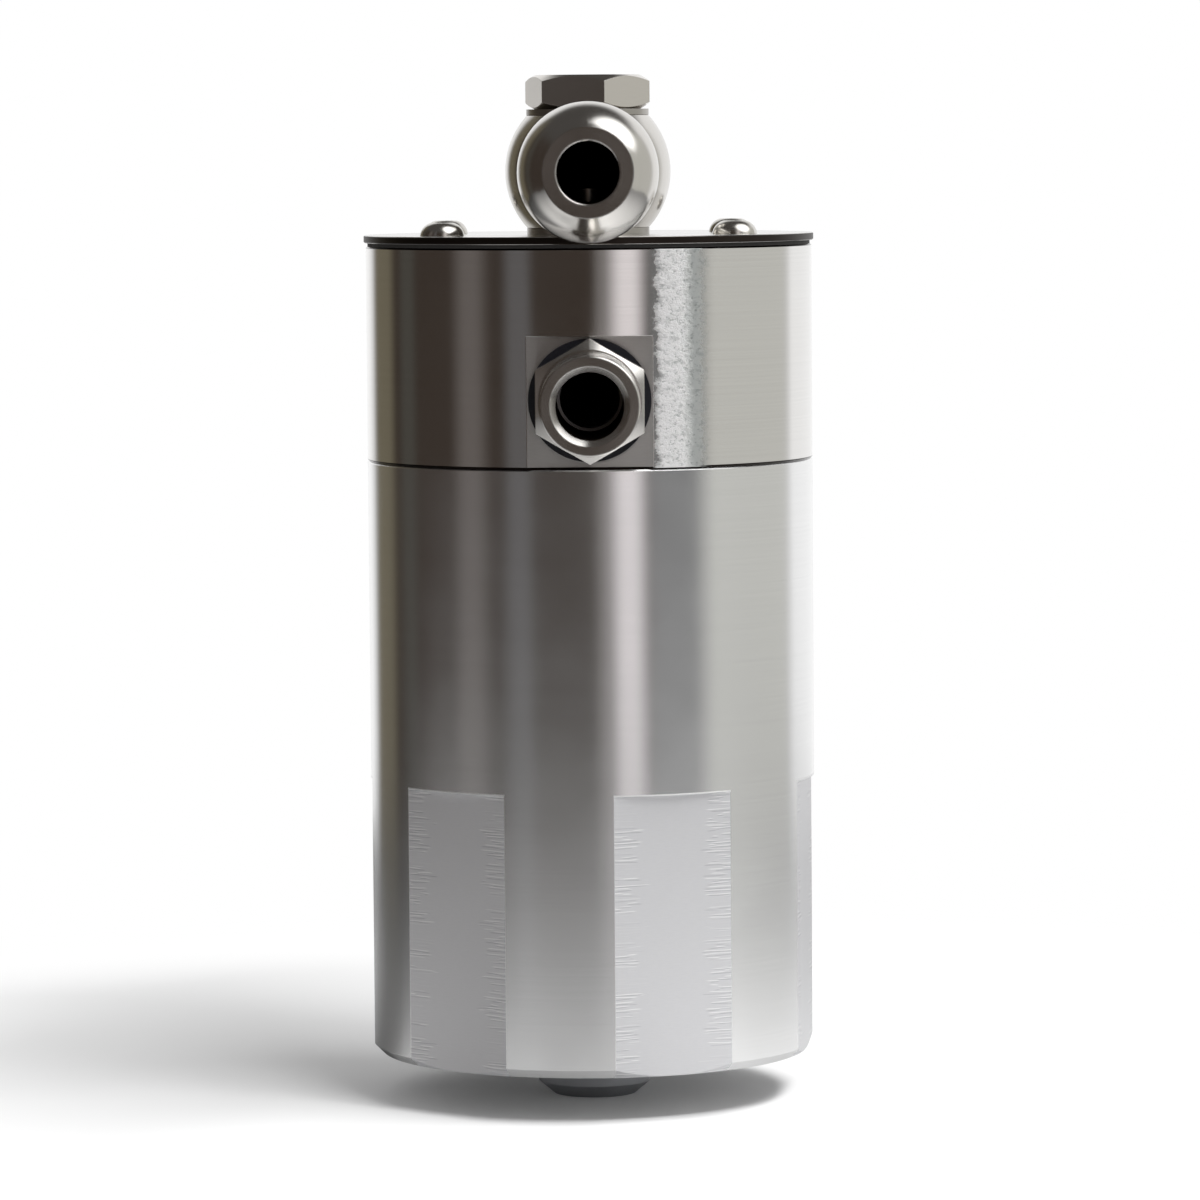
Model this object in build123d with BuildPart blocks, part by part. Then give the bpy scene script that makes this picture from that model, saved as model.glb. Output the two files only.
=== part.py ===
from build123d import *
import os
from math import radians, sqrt, tan

# Oil catch can for an engine bay, in millimetres.
# The turned bowl screws up onto the head, the lid is bolted on top of the head,
# and the drain plug under the bowl is the foot that the can stands on.
# The foot's face is height 0, +Z is up, and both hose tails point to -Y.

# Fits
thread_clearance = 0.05
running_clearance = 0.07
push_clearance = 0.02
passing_clearance = 0.3
edge_break = 0.25

# Hexagons: the turned face as a share of the width, and the slope of the turned corners
hex_land = 0.95
hex_bevel_angle = 30.0

# Body
body_radius = 38.1
head_height = 36.6
head_wall = 13.9
rim_width = 4.45

# Bowl
bowl_height = 101.6
bowl_chamfer = 1.45
floor_thickness = 8.0
floor_rise = 3.0
chamber_ledge = 0.5
baffle_ledge = 1.6
ledge_height = 49.0
floor_fillet = 3.0
seal_groove_width = 2.2
seal_groove_depth = 1.4
seal_corner = 0.5
seal_clearance = 0.1
thread_run_out = 1.8

# Wrench flats on the bowl, and the spot face under the inlet, cut equally deep
flat_depth = 1.48
flat_height = 47.25
flat_count = 6
flat_azimuth = 21.2
spot_face_height = 22.1

# Threaded spigot of the head, which holds the mesh pack
spigot_wall = 4.6
spigot_lip = 1.8
shoulder_drop = 0.9
spigot_lead = 1.0

# Drain plug and its seal
foot_radius = 7.1
foot_cone_height = 2.2
collar_radius = 9.7
collar_height = 6.9
plug_thread_radius = 6.6
plug_thread_length = 8.5
plug_relief_depth = 0.7
plug_relief_length = 1.4
plug_socket_width = 6.0
plug_socket_depth = 5.0
drain_seal_thickness = 1.0
drain_seal_inset = 0.4

# Anti-slosh baffle in the bowl and the ring that holds it
baffle_thickness = 1.5
baffle_hole_radius = 3.0
baffle_inner_circle_radius = 11.0
baffle_outer_hole_inset = 8.55
baffle_inner_holes = 6
baffle_outer_holes = 12
snap_ring_thickness = 1.2
snap_ring_width = 2.2
snap_ring_depth = 0.8
snap_ring_gap = 24.0

# Mesh pack between two grids
grid_thickness = 1.2
mesh_thickness = 9.2
grid_hole_radius = 2.2
grid_hole_inset = 7.5
grid_hole_count = 14
grid_inner_circle_radius = 9.5
grid_inner_hole_count = 5

# Inlet port, fitting and dip tube
port_rise = 11.5
inlet_thread_radius = 6.6
inlet_thread_length = 8.2
inlet_hex_width = 18.0
inlet_hex_height = 6.1
inlet_seal_radius = 10.2
inlet_seal_thickness = 1.0
inlet_tail_radius = 8.2
inlet_tail_length = 17.8
inlet_bore_radius = 5.5
inlet_bevel = 1.0
tube_radius = 6.0
tube_wall = 1.0
tube_inset = 17.0
tube_bend_radius = 9.0
tube_tip_height = 70.0
tube_tip_angle = 30.0

# Lid, gasket and screws
gasket_thickness = 0.6
gasket_inset = 0.3
lid_overhang = 0.34
lid_thickness = 1.3
lid_edge_break = 0.2
lid_screw_count = 6
lid_screw_inset = 9.6
lid_screw_radius = 2.0
lid_screw_length = 10.0
lid_screw_hole_depth = 12.0
lid_screw_head_radius = 3.8
lid_screw_head_height = 2.2
lid_screw_land_radius = 1.9
lid_screw_dome = 0.45
lid_screw_socket_width = 2.5
lid_screw_socket_depth = 1.3

# Outlet: hollow bolt, washers, nut and the ball-shaped swivel fitting
outlet_washer_radius = 10.45
outlet_washer_thickness = 1.0
ball_radius = 14.13
ball_height = 19.2
bolt_radius = 6.95
bolt_hex_width = 19.0
bolt_hex_height = 5.8
bolt_hex_turn = 15.3
bolt_waist_radius = 5.6
bolt_waist_below = 1.7
bolt_waist_above = 8.0
bolt_waist_flare = 1.2
bolt_bore_radius = 4.0
bolt_cross_hole_radius = 2.6
bolt_end_length = 1.0
nut_width = 19.0
nut_height = 8.0
gallery_radius = 8.7
gallery_height = 9.0
neck_radius = 7.2
neck_fillet = 1.2
barb_gap = 2.0
barb_radius = 11.65
barb_shoulder = 1.2
barb_land = 1.0
nose_radius = 8.3
nose_length = 8.0
nose_round = 0.8
outlet_bore_radius = 5.08

# Heights that follow from the sizes above
bowl_underside = collar_height + drain_seal_thickness
floor_level = bowl_underside + floor_thickness
ledge_level = bowl_underside + ledge_height
joint_level = bowl_underside + bowl_height
head_top = joint_level + head_height
lid_underside = head_top + gasket_thickness
lid_top = lid_underside + lid_thickness
ball_bottom = lid_top + outlet_washer_thickness
outlet_level = ball_bottom + ball_height / 2
ball_top = ball_bottom + ball_height
bolt_seat = ball_top + outlet_washer_thickness
shoulder_level = joint_level - shoulder_drop
upper_grid_bottom = shoulder_level - grid_thickness
mesh_bottom = upper_grid_bottom - mesh_thickness
lower_grid_bottom = mesh_bottom - grid_thickness
media_ring_bottom = lower_grid_bottom - snap_ring_thickness
spigot_bottom = media_ring_bottom - spigot_lip
inlet_level = joint_level + port_rise

# Radii and depths that follow
flat_distance = body_radius - flat_depth
head_bore_radius = body_radius - head_wall
thread_bore_radius = body_radius - rim_width
spigot_radius = thread_bore_radius - thread_clearance
chamber_radius = thread_bore_radius - chamber_ledge
sump_radius = chamber_radius - baffle_ledge
drain_hole_radius = plug_thread_radius + thread_clearance
media_radius = spigot_radius - spigot_wall
baffle_outer_circle_radius = sump_radius - baffle_outer_hole_inset
grid_circle_radius = media_radius - grid_hole_inset
tube_offset = media_radius - tube_inset
lid_radius = body_radius + lid_overhang
lid_screw_circle_radius = body_radius - lid_screw_inset
rim_middle = (thread_bore_radius + body_radius) / 2
baffle_top = ledge_level + baffle_thickness
bolt_hole_radius = bolt_radius + thread_clearance
ball_bore_radius = bolt_radius + running_clearance
outlet_passing_radius = bolt_radius + passing_clearance
port_radius = inlet_thread_radius + thread_clearance
tube_socket_radius = tube_radius + push_clearance
tube_start = flat_distance - inlet_thread_length
inlet_seat = flat_distance + inlet_seal_thickness
inlet_hex_face = inlet_seat + inlet_hex_height
inlet_end = inlet_hex_face + inlet_tail_length
barb_start = lid_radius + barb_gap
barb_crest = barb_start + barb_shoulder
nose_start = barb_crest + barb_land
outlet_end = nose_start + nose_length
nut_top = lid_underside - outlet_washer_thickness
nut_bottom = nut_top - nut_height
bolt_bottom = nut_bottom - bolt_end_length

# Planes: a section through the axis, and one across each hose tail, looking along -Y
SECTION = Plane.XZ
INLET_FACE = Plane(origin=(0, -inlet_seat, inlet_level), x_dir=(0, 0, 1), z_dir=(0, -1, 0))
INLET_SECTION = Plane(origin=(0, 0, inlet_level), x_dir=(0, 0, 1), z_dir=(1, 0, 0))
OUTLET_SECTION = Plane(origin=(0, 0, outlet_level), x_dir=(0, 0, 1), z_dir=(1, 0, 0))
INLET_AXIS = Axis((0, 0, inlet_level), (0, -1, 0))
OUTLET_AXIS = Axis((0, 0, outlet_level), (0, -1, 0))
FRONT = -90


def flat_ring(label, outer_radius, inner_radius, bottom, thickness):
    """A flat washer, seal or gasket round the main axis."""
    with BuildPart() as ring:
        with BuildSketch(Plane.XY.offset(bottom)):
            Circle(outer_radius)
            Circle(inner_radius, mode=Mode.SUBTRACT)
        extrude(amount=thickness)
    ring.part.label = label
    return ring.part


def hexagon_bar(plane, width, height, both_ends):
    """A hexagon bar from a plane, its corners turned off at the far end or at both."""
    corner = width / sqrt(3)
    land = hex_land * width / 2
    bevel = (corner - land) * tan(radians(hex_bevel_angle))
    near_end = [(0, 0), (land, 0), (corner, bevel)] if both_ends else [(0, 0), (corner, 0)]
    far_end = [(corner, height - bevel), (land, height), (0, height)]
    section = Plane(origin=plane.origin, x_dir=plane.x_dir, z_dir=-plane.y_dir)
    with BuildPart() as bar:
        with BuildSketch(plane):
            RegularPolygon(width / 2, 6, major_radius=False)
        extrude(amount=height)
        with BuildSketch(section):
            with BuildLine():
                Polyline(*near_end, *far_end, close=True)
            make_face()
        revolve(axis=Axis(plane.origin, plane.z_dir), mode=Mode.INTERSECT)
    return bar.part


def snap_ring(label, seat_radius, bottom):
    """A spring ring with a gap, sprung into a groove round a bore."""
    with BuildPart() as ring:
        with BuildSketch(Plane.XY.offset(bottom)):
            Circle(seat_radius + snap_ring_depth - seal_clearance)
            Circle(seat_radius + snap_ring_depth - snap_ring_width, mode=Mode.SUBTRACT)
            gap_reach = seat_radius + snap_ring_depth
            Rectangle(snap_ring_gap, gap_reach, align=(Align.CENTER, Align.MIN), mode=Mode.SUBTRACT)
        extrude(amount=snap_ring_thickness)
    ring.part.label = label
    return ring.part


def tube_grid(label, bottom):
    """A perforated disc with a hole for the dip tube."""
    with BuildPart() as grid:
        with BuildSketch(Plane.XY.offset(bottom)):
            Circle(media_radius - push_clearance)
            with Locations((0, -tube_offset)):
                Circle(tube_radius + passing_clearance, mode=Mode.SUBTRACT)
            with PolarLocations(grid_circle_radius, grid_hole_count, start_angle=FRONT):
                Circle(grid_hole_radius, mode=Mode.SUBTRACT)
            with PolarLocations(grid_inner_circle_radius, grid_inner_hole_count, 0, 180):
                Circle(grid_hole_radius, mode=Mode.SUBTRACT)
        extrude(amount=grid_thickness)
    grid.part.label = label
    return grid.part


# Drain plug: a collar whose underside is turned down to the small round foot
with BuildPart() as drain_plug:
    plug_top = bowl_underside + plug_thread_length
    relief_radius = plug_thread_radius - plug_relief_depth
    relief_top = collar_height + drain_seal_thickness + plug_relief_length
    with BuildSketch(SECTION):
        with BuildLine():
            Polyline(
                (0, 0),
                (foot_radius, 0),
                (collar_radius, foot_cone_height),
                (collar_radius, collar_height),
                (relief_radius, collar_height),
                (relief_radius, relief_top),
                (plug_thread_radius, relief_top + plug_relief_depth),
                (plug_thread_radius, plug_top - plug_relief_depth),
                (relief_radius, plug_top),
                (0, plug_top),
                close=True,
            )
        make_face()
    revolve(axis=Axis.Z)
    with BuildSketch(Plane.XY):
        RegularPolygon(plug_socket_width / 2, 6, major_radius=False)
    extrude(amount=plug_socket_depth, mode=Mode.SUBTRACT)
drain_plug.part.label = "drain_plug"

drain_seal = flat_ring(
    "drain_seal",
    collar_radius - drain_seal_inset,
    plug_thread_radius + thread_clearance,
    collar_height,
    drain_seal_thickness,
)

# Bowl: thick round the sump, with a ledge for the baffle and a threaded mouth
with BuildPart() as bowl:
    thread_end = spigot_bottom - thread_run_out
    with BuildSketch(SECTION):
        with BuildLine():
            Polyline(
                (drain_hole_radius, bowl_underside),
                (body_radius - bowl_chamfer, bowl_underside),
                (body_radius, bowl_underside + bowl_chamfer),
                (body_radius, joint_level - edge_break),
                (body_radius - edge_break, joint_level),
                (thread_bore_radius + edge_break, joint_level),
                (thread_bore_radius, joint_level - edge_break),
                (thread_bore_radius, thread_end),
                (chamber_radius, thread_end - chamber_ledge),
                (chamber_radius, ledge_level),
                (sump_radius, ledge_level),
                (sump_radius, floor_level + floor_rise),
                (drain_hole_radius, floor_level),
                close=True,
            )
        make_face()
        wall_foot = vertices().sort_by_distance((sump_radius, floor_level + floor_rise))[0]
        fillet(wall_foot, floor_fillet)
    revolve(axis=Axis.Z)
    with BuildSketch(Plane.XY.offset(joint_level)):
        Circle(rim_middle + seal_groove_width / 2)
        Circle(rim_middle - seal_groove_width / 2, mode=Mode.SUBTRACT)
    extrude(amount=-seal_groove_depth, mode=Mode.SUBTRACT)
    with BuildSketch(Plane.XY.offset(baffle_top)):
        Circle(chamber_radius + snap_ring_depth)
        Circle(chamber_radius - snap_ring_depth, mode=Mode.SUBTRACT)
    extrude(amount=snap_ring_thickness + seal_clearance, mode=Mode.SUBTRACT)
    with BuildSketch(Plane.XY.offset(bowl_underside)):
        flat_start = FRONT + flat_azimuth
        with PolarLocations(flat_distance + body_radius / 2, flat_count, start_angle=flat_start):
            Rectangle(body_radius, body_radius)
    extrude(amount=flat_height, mode=Mode.SUBTRACT)
    drain_mouth = bowl.edges().filter_by(GeomType.CIRCLE).group_by(Axis.Z)[0].sort_by(SortBy.RADIUS)[0]
    chamfer(drain_mouth, edge_break)
bowl.part.label = "bowl"

# Bowl seal: a ring in the groove of the rim, pressed flat by the head
with BuildPart() as bowl_seal:
    seal_width = seal_groove_width - 2 * seal_clearance
    with BuildSketch(SECTION):
        with Locations((rim_middle, joint_level - seal_groove_depth / 2)):
            RectangleRounded(seal_width, seal_groove_depth, seal_corner)
    revolve(axis=Axis.Z)
bowl_seal.part.label = "bowl_seal"

# Anti-slosh baffle on the bowl's ledge
with BuildPart() as sump_baffle:
    with BuildSketch(Plane.XY.offset(ledge_level)):
        Circle(chamber_radius - seal_clearance)
        with PolarLocations(baffle_inner_circle_radius, baffle_inner_holes):
            Circle(baffle_hole_radius, mode=Mode.SUBTRACT)
        with PolarLocations(baffle_outer_circle_radius, baffle_outer_holes):
            Circle(baffle_hole_radius, mode=Mode.SUBTRACT)
    extrude(amount=baffle_thickness)
sump_baffle.part.label = "sump_baffle"

baffle_ring = snap_ring("baffle_ring", chamber_radius, baffle_top)

# Head: a thick ring with a threaded spigot below and the inlet port in front
with BuildPart() as head:
    with BuildSketch(SECTION):
        with BuildLine():
            Polyline(
                (head_bore_radius, head_top),
                (body_radius - edge_break, head_top),
                (body_radius, head_top - edge_break),
                (body_radius, joint_level + edge_break),
                (body_radius - edge_break, joint_level),
                (spigot_radius, joint_level),
                (spigot_radius, spigot_bottom + spigot_lead),
                (spigot_radius - spigot_lead, spigot_bottom),
                (media_radius, spigot_bottom),
                (media_radius, shoulder_level),
                (head_bore_radius, shoulder_level),
                close=True,
            )
        make_face()
    revolve(axis=Axis.Z)
    with BuildSketch(Plane.XY.offset(media_ring_bottom - seal_clearance)):
        Circle(media_radius + snap_ring_depth)
        Circle(media_radius - snap_ring_depth, mode=Mode.SUBTRACT)
    extrude(amount=snap_ring_thickness + seal_clearance, mode=Mode.SUBTRACT)
    with BuildSketch(Plane.XY.offset(joint_level)):
        with Locations((0, -flat_distance - body_radius / 2)):
            Rectangle(body_radius, body_radius)
    extrude(amount=spot_face_height, mode=Mode.SUBTRACT)
    with BuildSketch(INLET_SECTION):
        with BuildLine():
            Polyline(
                (0, body_radius),
                (port_radius + edge_break, body_radius),
                (port_radius + edge_break, flat_distance),
                (port_radius, flat_distance - edge_break),
                (port_radius, tube_start),
                (tube_socket_radius, tube_start),
                (tube_socket_radius, 0),
                (0, 0),
                close=True,
            )
        make_face()
    revolve(axis=INLET_AXIS, mode=Mode.SUBTRACT)
    with BuildSketch(Plane.XY.offset(head_top)):
        with PolarLocations(lid_screw_circle_radius, lid_screw_count, start_angle=FRONT):
            Circle(lid_screw_radius + thread_clearance)
    extrude(amount=-lid_screw_hole_depth, mode=Mode.SUBTRACT)
head.part.label = "head"

# Mesh pack: a pad of knitted wire with a hole for the dip tube
with BuildPart() as mesh_pack:
    with BuildSketch(Plane.XY.offset(mesh_bottom)):
        Circle(media_radius - push_clearance)
        with Locations((0, -tube_offset)):
            Circle(tube_radius + passing_clearance, mode=Mode.SUBTRACT)
    extrude(amount=mesh_thickness)
mesh_pack.part.label = "mesh_pack"

upper_grid = tube_grid("upper_grid", upper_grid_bottom)
lower_grid = tube_grid("lower_grid", lower_grid_bottom)
media_ring = snap_ring("media_ring", media_radius, media_ring_bottom)

# Dip tube: from the port it bends down through the mesh pack, its tip cut slanting
with BuildPart() as dip_tube:
    tube_bore_radius = tube_radius - tube_wall
    bend_level = inlet_level - tube_bend_radius
    with BuildLine():
        level_run = Line((0, -tube_start, inlet_level), (0, -tube_offset - tube_bend_radius, inlet_level))
        bend = TangentArc(level_run @ 1, (0, -tube_offset, bend_level), tangent=level_run % 1)
        Line(bend @ 1, (0, -tube_offset, tube_tip_height))
    with BuildSketch(Plane(origin=(0, -tube_start, inlet_level), z_dir=(0, 1, 0))):
        Circle(tube_radius)
        Circle(tube_bore_radius, mode=Mode.SUBTRACT)
    sweep()
    with BuildSketch(Plane.YZ):
        with BuildLine():
            tip_rise = 2 * tube_radius * tan(radians(tube_tip_angle))
            Polyline(
                (-tube_offset - tube_radius, tube_tip_height),
                (-tube_offset + tube_radius, tube_tip_height),
                (-tube_offset + tube_radius, tube_tip_height + tip_rise),
                close=True,
            )
        make_face()
    extrude(amount=tube_radius, both=True, mode=Mode.SUBTRACT)
dip_tube.part.label = "dip_tube"

# Inlet seal: a bonded washer between the spot face and the hexagon
with BuildPart() as inlet_seal:
    with BuildSketch(Plane(origin=(0, -flat_distance, inlet_level), z_dir=(0, -1, 0))):
        Circle(inlet_seal_radius)
        Circle(inlet_thread_radius + thread_clearance, mode=Mode.SUBTRACT)
    extrude(amount=inlet_seal_thickness)
inlet_seal.part.label = "inlet_seal"

# Inlet fitting: threaded shank, hexagon with a corner up, and a plain hose tail
with BuildPart() as inlet_fitting:
    with BuildSketch(INLET_SECTION):
        with BuildLine():
            Polyline(
                (0, tube_start),
                (inlet_thread_radius - edge_break, tube_start),
                (inlet_thread_radius, tube_start + edge_break),
                (inlet_thread_radius, inlet_seat),
                (inlet_tail_radius, inlet_seat),
                (inlet_tail_radius, inlet_end - edge_break),
                (inlet_tail_radius - edge_break, inlet_end),
                (0, inlet_end),
                close=True,
            )
        make_face()
    revolve(axis=INLET_AXIS)
    add(hexagon_bar(INLET_FACE, inlet_hex_width, inlet_hex_height, False))
    with BuildSketch(INLET_SECTION):
        with BuildLine():
            Polyline(
                (0, tube_start),
                (inlet_bore_radius, tube_start),
                (inlet_bore_radius, inlet_end - inlet_bevel),
                (inlet_bore_radius + inlet_bevel, inlet_end),
                (0, inlet_end),
                close=True,
            )
        make_face()
    revolve(axis=INLET_AXIS, mode=Mode.SUBTRACT)
inlet_fitting.part.label = "inlet_fitting"

# Lid gasket and lid plate, both drilled for the screws
with BuildPart() as lid_gasket:
    with BuildSketch(Plane.XY.offset(head_top)):
        Circle(body_radius - gasket_inset)
        Circle(head_bore_radius, mode=Mode.SUBTRACT)
        with PolarLocations(lid_screw_circle_radius, lid_screw_count, start_angle=FRONT):
            Circle(lid_screw_radius + passing_clearance, mode=Mode.SUBTRACT)
    extrude(amount=gasket_thickness)
lid_gasket.part.label = "lid_gasket"

with BuildPart() as lid_plate:
    with BuildSketch(Plane.XY.offset(lid_underside)):
        Circle(lid_radius)
    extrude(amount=lid_thickness)
    chamfer(lid_plate.edges().filter_by(GeomType.CIRCLE), lid_edge_break)
    with BuildSketch(Plane.XY.offset(lid_underside)):
        Circle(outlet_passing_radius)
        with PolarLocations(lid_screw_circle_radius, lid_screw_count, start_angle=FRONT):
            Circle(lid_screw_radius + passing_clearance)
    extrude(amount=lid_thickness, mode=Mode.SUBTRACT)
lid_plate.part.label = "lid_plate"

# Lid screws: domed heads with a hexagon socket
with BuildPart() as lid_screw:
    with BuildSketch(SECTION):
        with BuildLine():
            screw_tip = lid_top - lid_screw_length
            head_rim = (lid_screw_head_radius, lid_top)
            dome_top = (lid_screw_land_radius, lid_top + lid_screw_head_height)
            Polyline((0, screw_tip), (lid_screw_radius, screw_tip), (lid_screw_radius, lid_top), head_rim)
            SagittaArc(head_rim, dome_top, -lid_screw_dome)
            Polyline(dome_top, (0, lid_top + lid_screw_head_height), (0, screw_tip))
        make_face()
    revolve(axis=Axis.Z)
    with BuildSketch(Plane.XY.offset(lid_top + lid_screw_head_height)):
        RegularPolygon(lid_screw_socket_width / 2, 6, major_radius=False)
    extrude(amount=-lid_screw_socket_depth, mode=Mode.SUBTRACT)

with BuildPart() as lid_screws:
    with PolarLocations(lid_screw_circle_radius, lid_screw_count, start_angle=FRONT):
        add(lid_screw.part)
lid_screws.part.label = "lid_screws"

# Outlet washers above and below the ball, and one more inside under the lid
lower_washer = flat_ring(
    "lower_washer", outlet_washer_radius, outlet_passing_radius, lid_top, outlet_washer_thickness
)
upper_washer = flat_ring(
    "upper_washer", outlet_washer_radius, outlet_passing_radius, ball_top, outlet_washer_thickness
)
nut_washer = flat_ring(
    "nut_washer", outlet_washer_radius, outlet_passing_radius, nut_top, outlet_washer_thickness
)

with BuildPart() as outlet_nut:
    add(hexagon_bar(Plane.XY.offset(nut_bottom), nut_width, nut_height, True))
    with BuildSketch(Plane.XY.offset(nut_bottom)):
        Circle(bolt_hole_radius)
    extrude(amount=nut_height, mode=Mode.SUBTRACT)
outlet_nut.part.label = "outlet_nut"

# Outlet bolt: hollow, with a turned waist and a cross hole inside the ball
with BuildPart() as outlet_bolt:
    waist_bottom = outlet_level - bolt_waist_below
    waist_top = outlet_level + bolt_waist_above
    with BuildSketch(SECTION):
        with BuildLine():
            Polyline(
                (0, bolt_bottom),
                (bolt_radius - edge_break, bolt_bottom),
                (bolt_radius, bolt_bottom + edge_break),
                (bolt_radius, waist_bottom - bolt_waist_flare),
                (bolt_waist_radius, waist_bottom),
                (bolt_waist_radius, waist_top),
                (bolt_radius, waist_top),
                (bolt_radius, bolt_seat),
                (0, bolt_seat),
                close=True,
            )
        make_face()
    revolve(axis=Axis.Z)
    hex_face = Plane.XY.offset(bolt_seat).rotated((0, 0, FRONT + bolt_hex_turn))
    add(hexagon_bar(hex_face, bolt_hex_width, bolt_hex_height, True))
    with BuildSketch(Plane.XY.offset(bolt_bottom)):
        Circle(bolt_bore_radius)
    extrude(amount=waist_top - bolt_waist_flare - bolt_bottom, mode=Mode.SUBTRACT)
    with BuildSketch(Plane.YZ):
        with Locations((0, (waist_bottom + waist_top) / 2)):
            Circle(bolt_cross_hole_radius)
    extrude(amount=bolt_radius, both=True, mode=Mode.SUBTRACT)
outlet_bolt.part.label = "outlet_bolt"

# Outlet fitting: a ball with two flats and a hose tail that ends in a rounded barb
with BuildPart() as outlet_fitting:
    neck_start = sqrt(ball_radius**2 - neck_radius**2)
    with BuildSketch(OUTLET_SECTION):
        with BuildLine():
            nose_edge = (nose_radius, outlet_end - nose_round)
            ThreePointArc((0, -ball_radius), (ball_radius, 0), (neck_radius, neck_start))
            Polyline(
                (neck_radius, neck_start),
                (neck_radius, barb_start),
                (barb_radius, barb_crest),
                (barb_radius, nose_start),
            )
            nose = TangentArc((barb_radius, nose_start), nose_edge, tangent=(0, 1))
            TangentArc(nose_edge, (nose_radius - nose_round, outlet_end), tangent=nose % 1)
            Polyline((nose_radius - nose_round, outlet_end), (0, outlet_end), (0, -ball_radius))
        make_face()
        fillet(vertices().sort_by_distance((neck_radius, neck_start))[0], neck_fillet)
    revolve(axis=OUTLET_AXIS)
    for flat_level, cut_depth in ((ball_top, ball_radius), (ball_bottom, -ball_radius)):
        with BuildSketch(Plane.XY.offset(flat_level)):
            Circle(ball_radius)
        extrude(amount=cut_depth, mode=Mode.SUBTRACT)
    with BuildSketch(SECTION):
        with BuildLine():
            gallery_half = gallery_height / 2
            Polyline(
                (0, ball_bottom),
                (ball_bore_radius, ball_bottom),
                (ball_bore_radius, outlet_level - gallery_half),
                (gallery_radius, outlet_level - gallery_half),
                (gallery_radius, outlet_level + gallery_half),
                (ball_bore_radius, outlet_level + gallery_half),
                (ball_bore_radius, ball_top),
                (0, ball_top),
                close=True,
            )
        make_face()
    revolve(axis=Axis.Z, mode=Mode.SUBTRACT)
    with BuildSketch(OUTLET_SECTION):
        with BuildLine():
            Polyline(
                (0, 0),
                (outlet_bore_radius, 0),
                (outlet_bore_radius, outlet_end - edge_break),
                (outlet_bore_radius + edge_break, outlet_end),
                (0, outlet_end),
                close=True,
            )
        make_face()
    revolve(axis=OUTLET_AXIS, mode=Mode.SUBTRACT)
outlet_fitting.part.label = "outlet_fitting"

# Write every piece to its own file
pieces = [
    drain_plug.part,
    drain_seal,
    bowl.part,
    bowl_seal.part,
    sump_baffle.part,
    baffle_ring,
    head.part,
    mesh_pack.part,
    upper_grid,
    lower_grid,
    media_ring,
    dip_tube.part,
    inlet_seal.part,
    inlet_fitting.part,
    lid_gasket.part,
    lid_plate.part,
    lid_screws.part,
    lower_washer,
    upper_washer,
    nut_washer,
    outlet_nut.part,
    outlet_bolt.part,
    outlet_fitting.part,
]
os.makedirs("parts", exist_ok=True)
for piece in pieces:
    export_step(piece, f"parts/{piece.label}.step")
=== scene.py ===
"""Looks of a turned aluminium oil catch can that stands on its drain plug in a plain white studio.

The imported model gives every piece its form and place. This script dresses each piece in its own
procedural metal or rubber, adds what is too fine for the model, and sets up the camera and lights.
Lengths are in metres, the can's axis is Z, and both hose tails point to -Y.
"""

import logging
import math
from dataclasses import dataclass
from enum import Enum

import bpy
from mathutils import Matrix, Vector

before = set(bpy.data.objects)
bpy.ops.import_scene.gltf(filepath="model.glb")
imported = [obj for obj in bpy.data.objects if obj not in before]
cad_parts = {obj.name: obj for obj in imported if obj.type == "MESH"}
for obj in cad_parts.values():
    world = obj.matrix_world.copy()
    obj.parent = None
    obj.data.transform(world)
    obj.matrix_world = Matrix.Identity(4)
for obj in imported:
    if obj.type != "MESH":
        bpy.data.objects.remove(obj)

log = logging.getLogger("catch_can")

MM = 0.001

Colour = tuple[float, float, float]
Point = tuple[float, float, float]
Curve = tuple[tuple[float, float], ...]
Link = bpy.types.NodeSocket


class LatheAxis(Enum):
    """The axis that a piece was turned about, as the Tangent node names it."""

    UPRIGHT = "Z"
    FORWARD = "Y"


class Socket(Enum):
    """Kinds of socket on a shader node group."""

    FLOAT = "NodeSocketFloat"
    VECTOR = "NodeSocketVector"


@dataclass(frozen=True)
class BodySizes:
    """Sizes of the body that the materials need.

    Attributes:
        radius: Radius of the head and the bowl.
        flat_distance: Distance of a wrench flat from the axis.
        flat_azimuth: Where the first flat's middle lies, in degrees to the right of the front.
        flat_spacing: Angle between two flats, in degrees.
        flat_half_span: Angle that holds half a flat's width, in degrees.
        flat_top: Height at which the flats end.
        joint_level: Height of the joint between the head and the bowl.
        head_top: Height of the head's top face.
        inlet_level: Height of the inlet's axis.
        outlet_level: Height of the outlet's axis.
        chamfer_top: Height of the chamfer round the bowl's bottom.
        lid_radius: Radius of the lid.
        lid_underside: Height of the lid's lower face.
        spot_face_half_width: Half the width of the milled face round the inlet.
    """

    radius: float = 38.1 * MM
    flat_distance: float = 36.62 * MM
    flat_azimuth: float = 21.2
    flat_spacing: float = 60.0
    flat_half_span: float = 16.0
    flat_top: float = 55.15 * MM
    joint_level: float = 109.5 * MM
    head_top: float = 146.1 * MM
    inlet_level: float = 121.0 * MM
    outlet_level: float = 158.6 * MM
    chamfer_top: float = 9.35 * MM
    lid_radius: float = 38.44 * MM
    lid_underside: float = 146.7 * MM
    spot_face_half_width: float = 10.52 * MM


BODY = BodySizes()

# The least distance that tells two faces of a piece apart.
HAIR = 0.02 * MM

# Near-black painted shade for bores, passages and the gaps at joints.
PAINTED_SHADE = (0.016, 0.012, 0.010, 1.0)
WHITE = (1.0, 1.0, 1.0, 1.0)


def opaque(colour: Colour, strength: float = 1.0) -> tuple[float, float, float, float]:
    """A colour as a shader socket takes it.

    Args:
        colour: Red, green and blue.
        strength: What they are multiplied by.

    Returns:
        The four numbers.
    """
    red, green, blue = colour
    return strength * red, strength * green, strength * blue, 1.0


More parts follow.
